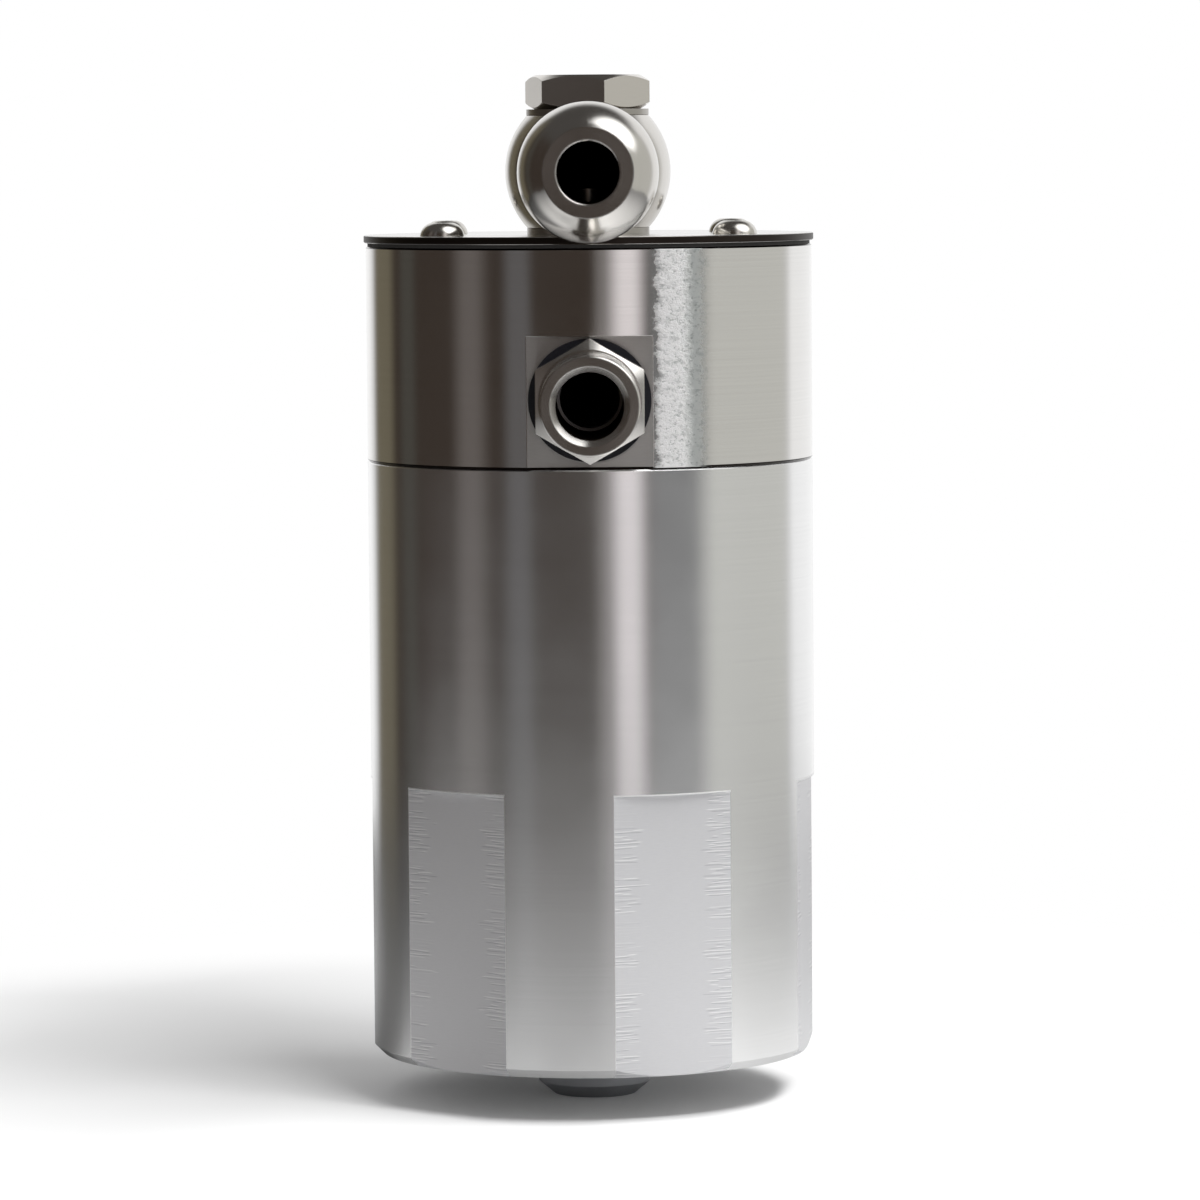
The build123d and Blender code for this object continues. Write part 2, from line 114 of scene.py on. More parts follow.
def grey(value: float) -> tuple[float, float, float, float]:
    """An even grey as a shader socket takes it.

    Args:
        value: How light it is.

    Returns:
        The four numbers.
    """
    return value, value, value, 1.0


class Graph:
    """A thin wrapper round a node tree, which adds nodes and links in short lines."""

    def __init__(self, tree: bpy.types.NodeTree) -> None:
        """Keep the tree.

        Args:
            tree: The node tree to build in.
        """
        self.tree = tree

    def node(self, kind: str, label: str = "", **settings: object) -> bpy.types.Node:
        """Add a node.

        Args:
            kind: The node's type, such as "ShaderNodeMath".
            label: A plain label for whoever opens the tree.
            **settings: Attributes of the node, such as operation="ADD".

        Returns:
            The new node.
        """
        made = self.tree.nodes.new(kind)
        made.label = label
        for name, value in settings.items():
            setattr(made, name, value)
        return made

    def feed(self, socket: Link, value: object) -> None:
        """Give a socket its value, or link it if the value is another socket.

        Args:
            socket: The input.
            value: A number, a tuple, or an output socket.
        """
        if isinstance(value, Link):
            self.tree.links.new(value, socket)
        else:
            socket.default_value = value

    def math(self, operation: str, *values: object) -> Link:
        """Add a Math node.

        Args:
            operation: Its operation.
            *values: Its inputs, in order.

        Returns:
            The result.
        """
        made = self.node("ShaderNodeMath", operation=operation)
        for socket, value in zip(made.inputs, values):
            self.feed(socket, value)
        return made.outputs[0]

    def ramp(self, value: object, low: float, high: float, to_low: float = 0.0, to_high: float = 1.0,
             smooth: bool = True) -> Link:
        """Map a value from one range to another, with smooth ends.

        Args:
            value: The input.
            low: Where the result starts to leave to_low.
            high: Where it reaches to_high.
            to_low: The result at low.
            to_high: The result at high.
            smooth: Whether the ends are eased.

        Returns:
            The mapped value.
        """
        made = self.node("ShaderNodeMapRange", interpolation_type="SMOOTHSTEP" if smooth else "LINEAR")
        for socket, number in zip(made.inputs, (value, low, high, to_low, to_high)):
            self.feed(socket, number)
        return made.outputs[0]

    def mix(self, share: object, first: object, second: object) -> Link:
        """Mix two colours.

        Args:
            share: 0 for the first, 1 for the second.
            first: A colour of four numbers, or a socket.
            second: A colour of four numbers, or a socket.

        Returns:
            The mixed colour.
        """
        made = self.node("ShaderNodeMix", data_type="RGBA")
        self.feed(made.inputs["Factor"], share)
        self.feed(made.inputs[6], first)
        self.feed(made.inputs[7], second)
        return made.outputs[2]

    def above(self, value: object, limit: float) -> Link:
        """Mask the places where a value is greater than a limit.

        Args:
            value: The input.
            limit: The limit.

        Returns:
            1 above the limit and 0 elsewhere.
        """
        return self.math("GREATER_THAN", value, limit)

    def below(self, value: object, limit: object) -> Link:
        """Mask the places where a value is less than a limit.

        Args:
            value: The input.
            limit: The limit.

        Returns:
            1 below the limit and 0 elsewhere.
        """
        return self.math("LESS_THAN", value, limit)

    def product(self, first: object, *others: object) -> Link:
        """Multiply numbers, which also says where several masks overlap.

        Args:
            first: A number or a socket.
            *others: The numbers or sockets that it is multiplied by.

        Returns:
            The product.
        """
        for other in others:
            first = self.math("MULTIPLY", first, other)
        return first

    def noise(self, vector: object, scale: object, detail: float = 2.0, roughness: float = 0.5) -> Link:
        """Add a Noise Texture.

        Args:
            vector: Where it is read.
            scale: Its scale.
            detail: Its number of finer layers.
            roughness: How strong those are.

        Returns:
            Its value, about 0.5 on average.
        """
        made = self.node("ShaderNodeTexNoise")
        self.feed(made.inputs["Vector"], vector)
        self.feed(made.inputs["Scale"], scale)
        self.feed(made.inputs["Detail"], detail)
        self.feed(made.inputs["Roughness"], roughness)
        return made.outputs["Fac"]

    def combine(self, x: object, y: object, z: object) -> Link:
        """Put three numbers into a vector.

        Args:
            x: First number or socket.
            y: Second number or socket.
            z: Third number or socket.

        Returns:
            The vector.
        """
        made = self.node("ShaderNodeCombineXYZ")
        for socket, value in zip(made.inputs, (x, y, z)):
            self.feed(socket, value)
        return made.outputs[0]

    def group(self, tree: bpy.types.NodeTree, **values: object) -> bpy.types.Node:
        """Place a node group.

        Args:
            tree: The group.
            **values: Its inputs, with spaces in their names written as underscores.

        Returns:
            The group's node.
        """
        made = self.node("ShaderNodeGroup", label=tree.name)
        made.node_tree = tree
        for name, value in values.items():
            self.feed(made.inputs[name.replace("_", " ")], value)
        return made


@dataclass(frozen=True)
class FlatMarks:
    """Sizes of the tool marks along the long edges of a milled flat.

    Attributes:
        slant: Width over which a mark rises or falls by one pitch.
        bright_side: Distance between a mark's side painted in shade and its side painted in highlight, in
            pitches.
        cluster: Height of a cluster of marks.
        reach: How much further or less far than others a cluster reaches inwards.
        begin: Distance from the flat's middle at which marks begin to show.
        full: Distance from the flat's middle at which they show in full.
    """

    slant: float = 26.0 * MM
    bright_side: float = 0.12
    cluster: float = 1.8 * MM
    reach: float = 2.8 * MM
    begin: float = 5.6 * MM
    full: float = 6.8 * MM


MARKS = FlatMarks()


class EffectGroups:
    """The shader node groups that several materials share. Each is built once, when first asked for."""

    def __init__(self) -> None:
        """Start with no group built."""
        self.built: dict[str, bpy.types.NodeTree] = {}

    def start(self, name: str, inputs: dict[str, Socket],
              outputs: dict[str, Socket]) -> tuple[Graph, dict, dict]:
        """Make an empty group with its sockets.

        Args:
            name: The group's name.
            inputs: Its inputs and their kinds.
            outputs: Its outputs and their kinds.

        Returns:
            The graph to build in, the input sockets by name, and the output sockets by name.
        """
        tree = bpy.data.node_groups.new(name, "ShaderNodeTree")
        for socket, kind in inputs.items():
            tree.interface.new_socket(socket, in_out="INPUT", socket_type=kind.value)
        for socket, kind in outputs.items():
            tree.interface.new_socket(socket, in_out="OUTPUT", socket_type=kind.value)
        graph = Graph(tree)
        enter, leave = graph.node("NodeGroupInput"), graph.node("NodeGroupOutput")
        self.built[name] = tree
        return graph, dict(enter.outputs.items()), dict(leave.inputs.items())

    def lathe_coordinates(self) -> bpy.types.NodeTree:
        """Radius, height and angle about the local Z axis.

        Returns:
            The group.
        """
        if "lathe coordinates" not in self.built:
            graph, given, result = self.start(
                "lathe coordinates",
                {"Vector": Socket.VECTOR},
                {"Radius": Socket.FLOAT, "Height": Socket.FLOAT, "Angle": Socket.FLOAT},
            )
            split = graph.node("ShaderNodeSeparateXYZ")
            graph.feed(split.inputs[0], given["Vector"])
            x, y, z = split.outputs
            square = graph.math("ADD", graph.product(x, x), graph.product(y, y))
            graph.feed(result["Radius"], graph.math("SQRT", square))
            graph.feed(result["Height"], z)
            graph.feed(result["Angle"], graph.math("ARCTAN2", y, x))
        return self.built["lathe coordinates"]

    def turning_marks(self) -> bpy.types.NodeTree:
        """Fine rings that a lathe tool leaves, with some rings deeper than others.

        Returns:
            The group. Its Rings output is about 0.5 on average.
        """
        if "turning marks" not in self.built:
            graph, given, result = self.start(
                "turning marks",
                {"Vector": Socket.VECTOR, "Pitch": Socket.FLOAT, "Wander": Socket.FLOAT},
                {"Rings": Socket.FLOAT, "Bands": Socket.FLOAT},
            )
            place = graph.group(self.lathe_coordinates(), Vector=given["Vector"])
            radius = graph.math("DIVIDE", place.outputs["Radius"], given["Pitch"])
            height = graph.math("DIVIDE", place.outputs["Height"], given["Pitch"])
            around = graph.product(place.outputs["Angle"], given["Wander"])
            where = graph.combine(radius, height, around)
            graph.feed(result["Rings"], graph.noise(where, 1.0, 2.0, 0.6))
            graph.feed(result["Bands"], graph.noise(where, 0.12, 1.0, 0.5))
        return self.built["turning marks"]

    def handling(self) -> bpy.types.NodeTree:
        """Smudges from handling, and a few tiny specks.

        Returns:
            The group. Smudge is 0 to 1, and Speck is 1 in a speck.
        """
        if "handling" not in self.built:
            graph, given, result = self.start(
                "handling",
                {"Vector": Socket.VECTOR, "Smudge Size": Socket.FLOAT, "Speck Spacing": Socket.FLOAT},
                {"Smudge": Socket.FLOAT, "Speck": Socket.FLOAT},
            )
            smudge_scale = graph.math("DIVIDE", 1.0, given["Smudge Size"])
            smudge = graph.noise(given["Vector"], smudge_scale, 1.5, 0.45)
            graph.feed(result["Smudge"], graph.ramp(smudge, 0.25, 0.75))
            cells = graph.node("ShaderNodeTexVoronoi")
            graph.feed(cells.inputs["Vector"], given["Vector"])
            graph.feed(cells.inputs["Scale"], graph.math("DIVIDE", 1.0, given["Speck Spacing"]))
            near = graph.ramp(cells.outputs["Distance"], 0.010, 0.018, 1.0, 0.0)
            chosen = graph.node("ShaderNodeSeparateColor")
            graph.feed(chosen.inputs[0], cells.outputs["Color"])
            rare = graph.above(chosen.outputs[0], 0.8)
            graph.feed(result["Speck"], graph.product(near, rare))
        return self.built["handling"]

    def wrench_flats(self) -> bpy.types.NodeTree:
        """Where a milled flat lies on a round body, and the short tool marks along its two long edges.

        Returns:
            The group. Flat is 1 on a flat and Span is 1 over a flat's whole width. Marks runs from -1 on
            the side of a groove that the bowl paints in shade to 1 on the side it paints in highlight, and
            also drives the grooves' relief.
        """
        if "wrench flats" not in self.built:
            graph, given, result = self.start(
                "wrench flats",
                {"Vector": Socket.VECTOR, "Body Radius": Socket.FLOAT, "First Angle": Socket.FLOAT,
                 "Pitch": Socket.FLOAT},
                {"Flat": Socket.FLOAT, "Marks": Socket.FLOAT, "Grain": Socket.FLOAT, "Span": Socket.FLOAT},
            )
            place = graph.group(self.lathe_coordinates(), Vector=given["Vector"])
            radius, height = place.outputs["Radius"], place.outputs["Height"]
            inside = graph.math("SUBTRACT", given["Body Radius"], radius)
            graph.feed(result["Flat"], graph.above(inside, HAIR))
            turned = graph.math("SUBTRACT", place.outputs["Angle"], given["First Angle"])
            step = math.radians(BODY.flat_spacing)
            side = graph.math("ROUND", graph.math("DIVIDE", turned, step))
            beyond = graph.math("SUBTRACT", turned, graph.product(side, step))
            across = graph.product(graph.math("SINE", beyond), radius)
            edge = graph.math("SIGN", across)
            slant = graph.math("DIVIDE", across, MARKS.slant)
            level = graph.math("DIVIDE", height, given["Pitch"])
            grooves = []
            for shift in (0.0, MARKS.bright_side):
                row = graph.combine(slant, graph.math("ADD", level, shift), graph.math("ADD", side, edge))
                grooves.append(graph.ramp(graph.noise(row, 3.0, 1.0, 0.5), 0.50, 0.56))
            pair = graph.math("SUBTRACT", *grooves)
            blotch = graph.combine(edge, graph.math("DIVIDE", height, MARKS.cluster), side)
            reach = graph.ramp(graph.noise(blotch, 1.0, 1.0, 0.5), 0.25, 0.75, -MARKS.reach, MARKS.reach,
                               smooth=False)
            from_middle = graph.math("ADD", graph.math("ABSOLUTE", across), reach)
            at_edge = graph.ramp(from_middle, MARKS.begin, MARKS.full)
            cluster = graph.ramp(graph.noise(blotch, 0.6, 1.0, 0.5), 0.38, 0.52, 0.25, 1.0)
            graph.feed(result["Marks"], graph.product(at_edge, cluster, pair))
            half_span = math.radians(BODY.flat_half_span)
            graph.feed(result["Span"], graph.below(graph.math("ABSOLUTE", beyond), half_span))
            fine = graph.combine(across, graph.product(height, 7.0), side)
            graph.feed(result["Grain"], graph.noise(fine, 700.0, 3.0, 0.7))
        return self.built["wrench flats"]

    def screw_thread(self) -> bpy.types.NodeTree:
        """A single-start thread about the local Z axis.

        Returns:
            The group. Profile runs from 0 in the root to 1 on the crest.
        """
        if "screw thread" not in self.built:
            graph, given, result = self.start(
                "screw thread",
                {"Vector": Socket.VECTOR, "Pitch": Socket.FLOAT},
                {"Profile": Socket.FLOAT},
            )
            place = graph.group(self.lathe_coordinates(), Vector=given["Vector"])
            turn = graph.math("DIVIDE", place.outputs["Angle"], 2 * math.pi)
            level = graph.math("DIVIDE", place.outputs["Height"], given["Pitch"])
            phase = graph.math("FRACT", graph.math("ADD", level, graph.product(turn, -1.0)))
            ridge = graph.math("ABSOLUTE", graph.math("SUBTRACT", phase, 0.5))
            graph.feed(result["Profile"], graph.ramp(ridge, 0.06, 0.44))
        return self.built["screw thread"]


GROUPS = EffectGroups()


@dataclass(frozen=True)
class ThreadZone:
    """Part of a turned surface that carries a thread.

    Attributes:
        inner: Smallest radius of the zone.
        outer: Largest radius of the zone.
        bottom: Lowest height of the zone.
        top: Greatest height of the zone.
        pitch: Pitch of the thread.
        depth: Depth of the thread.
    """

    inner: float
    outer: float
    bottom: float
    top: float
    pitch: float
    depth: float

    def height(self, graph: Graph, where: Link) -> Link:
        """The thread's height over its root.

        Args:
            graph: The material's graph.
            where: The lathe's coordinates.

        Returns:
            The height in metres, 0 outside the zone.
        """
        thread = graph.group(GROUPS.screw_thread(), Vector=where, Pitch=self.pitch)
        place = graph.group(GROUPS.lathe_coordinates(), Vector=where)
        middle, half = (self.inner + self.outer) / 2, (self.outer - self.inner) / 2
        within = graph.math("COMPARE", place.outputs["Radius"], middle)
        within.node.inputs[2].default_value = half
        centre, reach = (self.bottom + self.top) / 2, (self.top - self.bottom) / 2
        along = graph.math("COMPARE", place.outputs["Height"], centre)
        along.node.inputs[2].default_value = reach
        zone = graph.product(within, along)
        return graph.product(thread.outputs["Profile"], self.depth, zone)


@dataclass(frozen=True)
class MetalFinish:
    """A bare metal surface that was turned on a lathe.

    Attributes:
        name: The material's name.
        colour: Its colour.
        roughness: Its roughness, from 0 for a mirror.
        anisotropy: How far the rings stretch a highlight across them.
        axis: The axis that it was turned about.
        centre: A point on that axis.
        pitch: Spacing of the rings.
        ring_depth: Depth of the rings.
        ring_shade: How much darker a deep ring looks, as a share.
        smudge: How much rougher a smudge is.
        smudge_size: Size of a smudge.
        speck_spacing: Distance between specks, or 0 for none.
        edge_radius: Radius of the worn edges, or 0 for sharp ones.
        metallic: 1 for bare metal, less under a dull coat.
        bore_radius: Radius about the axis within which the bore is painted near-black as painted shade, or 0
            for none.
        bore_end: How far along the axis that painted shade reaches.
        bore_roughness: How much rougher the bore with painted shade is.
        threads: Where the surface is threaded.
    """

    name: str
    colour: Colour
    roughness: float
    anisotropy: float = 0.0
    axis: LatheAxis = LatheAxis.UPRIGHT
    centre: Point = (0.0, 0.0, 0.0)
    pitch: float = 0.25 * MM
    ring_depth: float = 0.0012 * MM
    ring_shade: float = 0.06
    smudge: float = 0.04
    smudge_size: float = 9.0 * MM
    speck_spacing: float = 0.0
    edge_radius: float = 0.13 * MM
    metallic: float = 1.0
    bore_radius: float = 0.0
    bore_end: float = 0.0
    bore_roughness: float = 0.8
    threads: tuple[ThreadZone, ...] = ()

    def coordinates(self, graph: Graph) -> Link:
        """Coordinates whose Z axis is the axis that the piece was turned about.

        Args:
            graph: The material's graph.

        Returns:
            The coordinates.
        """
        place = graph.node("ShaderNodeTexCoord").outputs["Object"]
        shift = graph.node("ShaderNodeVectorMath", operation="SUBTRACT")
        graph.feed(shift.inputs[0], place)
        graph.feed(shift.inputs[1], self.centre)
        if self.axis is LatheAxis.UPRIGHT:
            return shift.outputs[0]
        turn = graph.node("ShaderNodeVectorRotate", rotation_type="X_AXIS")
        graph.feed(turn.inputs["Vector"], shift.outputs[0])
        graph.feed(turn.inputs["Angle"], math.pi / 2)
        return turn.outputs[0]

    def start(self) -> tuple[bpy.types.Material, Graph, bpy.types.Node, Link]:
        """Make the material with its metal shader and its tangent.

        Returns:
            The material, its graph, the shader node and the lathe's coordinates.
        """
        material = bpy.data.materials.new(self.name)
        material.use_nodes = True
        graph = Graph(material.node_tree)
        shader = material.node_tree.nodes["Principled BSDF"]
        shader.inputs["Metallic"].default_value = self.metallic
        if self.anisotropy:
            tangent = graph.node("ShaderNodeTangent", direction_type="RADIAL", axis=self.axis.value)
            shader.inputs["Anisotropic"].default_value = self.anisotropy
            shader.inputs["Anisotropic Rotation"].default_value = 0.25
            graph.feed(shader.inputs["Tangent"], tangent.outputs[0])
        return material, graph, shader, self.coordinates(graph)

    def surface(self, graph: Graph, where: Link) -> tuple[Link, Link, Link]:
        """The turned surface's colour, roughness and height.

        Args:
            graph: The material's graph.
            where: The lathe's coordinates.

        Returns:
            Colour, roughness and height sockets.
        """
        marks = graph.group(GROUPS.turning_marks(), Vector=where, Pitch=self.pitch, Wander=0.6)
        wear = graph.group(GROUPS.handling(), Vector=where, Smudge_Size=self.smudge_size,
                           Speck_Spacing=self.speck_spacing or 1.0)
        dark = opaque(self.colour, 1 - self.ring_shade)
        colour = graph.mix(marks.outputs["Rings"], dark, opaque(self.colour))
        if self.speck_spacing:
            colour = graph.mix(wear.outputs["Speck"], colour, grey(0.02))
        smudged = graph.product(wear.outputs["Smudge"], self.smudge)
        ringed = graph.product(marks.outputs["Bands"], 0.5 * self.smudge)
        roughness = graph.math("ADD", graph.math("ADD", smudged, ringed), self.roughness)
        # Painted shade: inside the bore radius the colour is painted near-black, standing in for the shade
        # inside the bore, and the surface is made rougher.
        if self.bore_radius:
            place = graph.group(GROUPS.lathe_coordinates(), Vector=where)
            bore_shade = graph.below(place.outputs["Radius"], self.bore_radius)
            inside = graph.below(place.outputs["Height"], self.bore_end)
            bore_shade = graph.product(bore_shade, inside)
            colour = graph.mix(bore_shade, colour, PAINTED_SHADE)
            roughness = graph.math("ADD", roughness, graph.product(bore_shade, self.bore_roughness))
        height = graph.product(marks.outputs["Rings"], self.ring_depth)
        for thread in self.threads:
            height = graph.math("ADD", height, thread.height(graph, where))
        return colour, roughness, height

    def bump(self, graph: Graph, height: object) -> Link:
        """Turn a height into a normal.

        Args:
            graph: The material's graph.
            height: The height in metres.

        Returns:
            The normal.
        """
        made = graph.node("ShaderNodeBump")
        made.inputs["Strength"].default_value = 1.0
        made.inputs["Distance"].default_value = 1.0
        graph.feed(made.inputs["Height"], height)
        if self.edge_radius:
            worn = graph.node("ShaderNodeBevel", samples=4)
            worn.inputs["Radius"].default_value = self.edge_radius
            graph.feed(made.inputs["Normal"], worn.outputs[0])
        return made.outputs[0]

    def build(self) -> bpy.types.Material:
        """Make the material.

        Returns:
            The material.
        """
        material, graph, shader, where = self.start()
        colour, roughness, height = self.surface(graph, where)
        graph.feed(shader.inputs["Base Color"], colour)
        graph.feed(shader.inputs["Roughness"], roughness)
        graph.feed(shader.inputs["Normal"], self.bump(graph, height))
        return material


@dataclass(frozen=True)
class HeadFinish(MetalFinish):
    """Bright turned metal with one upright strip of painted highlight, where the lamp's reflection shows as a
    mottled bright band.

    Attributes:
        strip_angle: Where the strip's middle lies, in degrees to the right of the front.
        strip_left: How far its bright core reaches to the left, in degrees.
        strip_right: How far the core reaches to the right, in degrees.
        strip_end: How far its duller part reaches to the right, in degrees.
        strip_roughness: Its roughness.
        strip_depth: Depth of the bumps in its core.
        strip_wander: How far its edges wander, in radians.
        coarse_mottle: Scale of the coarse mottle of the painted highlight.
        fine_mottle: Scale of the fine mottle of the painted highlight.
        spot_roughness: How much rougher the milled face round the inlet is.
        joint_line: Height of the painted shade line at the joint with the bowl.
        top_line: Height of the painted shade line under the lid's gasket.
        passage_radius: Radius of the passage behind the inlet that is painted near-black as shade.
        skin: How far under a face of the head still counts as that face.
    """

    strip_angle: float = 21.6
    strip_left: float = 4.0
    strip_right: float = 4.0
    strip_end: float = 9.0
    strip_roughness: float = 0.36
    strip_depth: float = 0.14 * MM
    strip_wander: float = 0.014
    coarse_mottle: float = 480.0
    fine_mottle: float = 1150.0
    spot_roughness: float = 0.2
    joint_line: float = 0.42 * MM
    top_line: float = 0.3 * MM
    passage_radius: float = 6.9 * MM
    skin: float = 0.05 * MM

    def paint_highlight_strip(self, graph: Graph, where: Link, place: bpy.types.Node) -> tuple[Link, Link, Link]:
        """The painted highlight strip: a mottled bright core with a duller part on its right.

        Args:
            graph: The material's graph.
            where: The lathe's coordinates.
            place: The node with their radius, height and angle.

        Returns:
            The strip's mask, its colour and its height.
        """
        outer = graph.above(place.outputs["Radius"], BODY.radius - self.skin)
        stretched = graph.node("ShaderNodeMapping")
        graph.feed(stretched.inputs["Vector"], where)
        graph.feed(stretched.inputs["Scale"], (1.0, 1.0, 1.5))
        coarse = graph.noise(stretched.outputs[0], self.coarse_mottle, 3.0, 0.7)
        fine = graph.noise(stretched.outputs[0], self.fine_mottle, 4.0, 0.75)
        angle = graph.math("SUBTRACT", place.outputs["Angle"], math.radians(self.strip_angle - 90.0))
        angle = graph.math("ADD", angle, graph.ramp(coarse, 0.3, 0.7, -self.strip_wander, self.strip_wander))
        left, right, end = (math.radians(a) for a in (-self.strip_left, self.strip_right, self.strip_end))
        core = graph.product(graph.ramp(angle, left - 0.02, left + 0.02),
                             graph.ramp(angle, right - 0.03, right + 0.03, 1.0, 0.0))
        highlight_strip = graph.product(graph.ramp(angle, left - 0.03, left),
                               graph.ramp(angle, end - 0.05, end + 0.02, 1.0, 0.0), outer)
        mottle = graph.product(graph.ramp(coarse, 0.32, 0.50, 0.55, 1.0),
                               graph.ramp(fine, 0.34, 0.47, 0.3, 1.0))
        # Painted highlight: the core is painted up to white and the part on its right a mottled grey,
        # standing in for the lamp's reflection.
        dull = graph.mix(mottle, opaque((0.26, 0.28, 0.28)), opaque((0.60, 0.62, 0.61)))
        bright = graph.mix(core, dull, graph.mix(mottle, opaque((0.40, 0.42, 0.41)), WHITE))
        strip_bumps = graph.product(fine, core, graph.product(outer, self.strip_depth))
        return highlight_strip, bright, strip_bumps

    def paint_shade(self, graph: Graph, split: bpy.types.Node, place: bpy.types.Node,
              colour: Link) -> Link:
        """Darken the two joints of the head and the passage behind the inlet.

        Args:
            graph: The material's graph.
            split: The node with the three coordinates.
            place: The node with their radius, height and angle.
            colour: The metal's colour.

        Returns:
            The colour with the painted shade.
        """
        radius, height = place.outputs["Radius"], place.outputs["Height"]
        at_bowl = graph.below(height, BODY.joint_level + self.joint_line)
        under_lid = graph.above(height, BODY.head_top - self.top_line)
        shoulder = graph.above(radius, BODY.flat_distance - 2 * self.skin)
        joint = graph.product(graph.math("MAXIMUM", at_bowl, under_lid), shoulder)
        rise = graph.math("SUBTRACT", split.outputs[2], BODY.inlet_level)
        aside = split.outputs[0]
        reach = graph.math("SQRT", graph.math("ADD", graph.product(rise, rise), graph.product(aside, aside)))
        passage = graph.product(graph.below(reach, self.passage_radius),
                                graph.below(radius, BODY.flat_distance - 4 * self.skin))
        # Painted shade: the joints' gaps and the passage get the near-black shade colour.
        return graph.mix(passage, graph.mix(joint, colour, PAINTED_SHADE), PAINTED_SHADE)

    def spot_face(self, graph: Graph, split: bpy.types.Node, place: bpy.types.Node) -> Link:
        """Mask the milled face round the inlet.

        Args:
            graph: The material's graph.
            split: The node with the three coordinates.
            place: The node with their radius, height and angle.

        Returns:
            1 on the face and 0 elsewhere.
        """
        return graph.product(graph.below(graph.math("ABSOLUTE", split.outputs[0]), BODY.spot_face_half_width),
                             graph.below(place.outputs["Radius"], BODY.radius - HAIR),
                             graph.below(split.outputs[1], 2 * self.skin - BODY.flat_distance))

    def build(self) -> bpy.types.Material:
        """Make the material.

        Returns:
            The material.
        """
        material, graph, shader, where = self.start()
        colour, roughness, rings = self.surface(graph, where)
        place = graph.group(GROUPS.lathe_coordinates(), Vector=where)
        split = graph.node("ShaderNodeSeparateXYZ")
        graph.feed(split.inputs[0], where)
        highlight_strip, bright, strip_bumps = self.paint_highlight_strip(graph, where, place)
        colour = self.paint_shade(graph, split, place, colour)
        # The painted highlight strip is mixed over the turned colour.
        graph.feed(shader.inputs["Base Color"], graph.mix(highlight_strip, colour, bright))
        spot = self.spot_face(graph, split, place)
        roughness = graph.math("ADD", roughness, graph.product(spot, self.spot_roughness))
        plain = graph.product(graph.math("SUBTRACT", 1.0, highlight_strip), roughness)
        graph.feed(shader.inputs["Roughness"],
                   graph.math("ADD", plain, graph.product(highlight_strip, self.strip_roughness)))
        graph.feed(shader.inputs["Normal"], self.bump(graph, graph.math("ADD", rings, strip_bumps)))
        return material


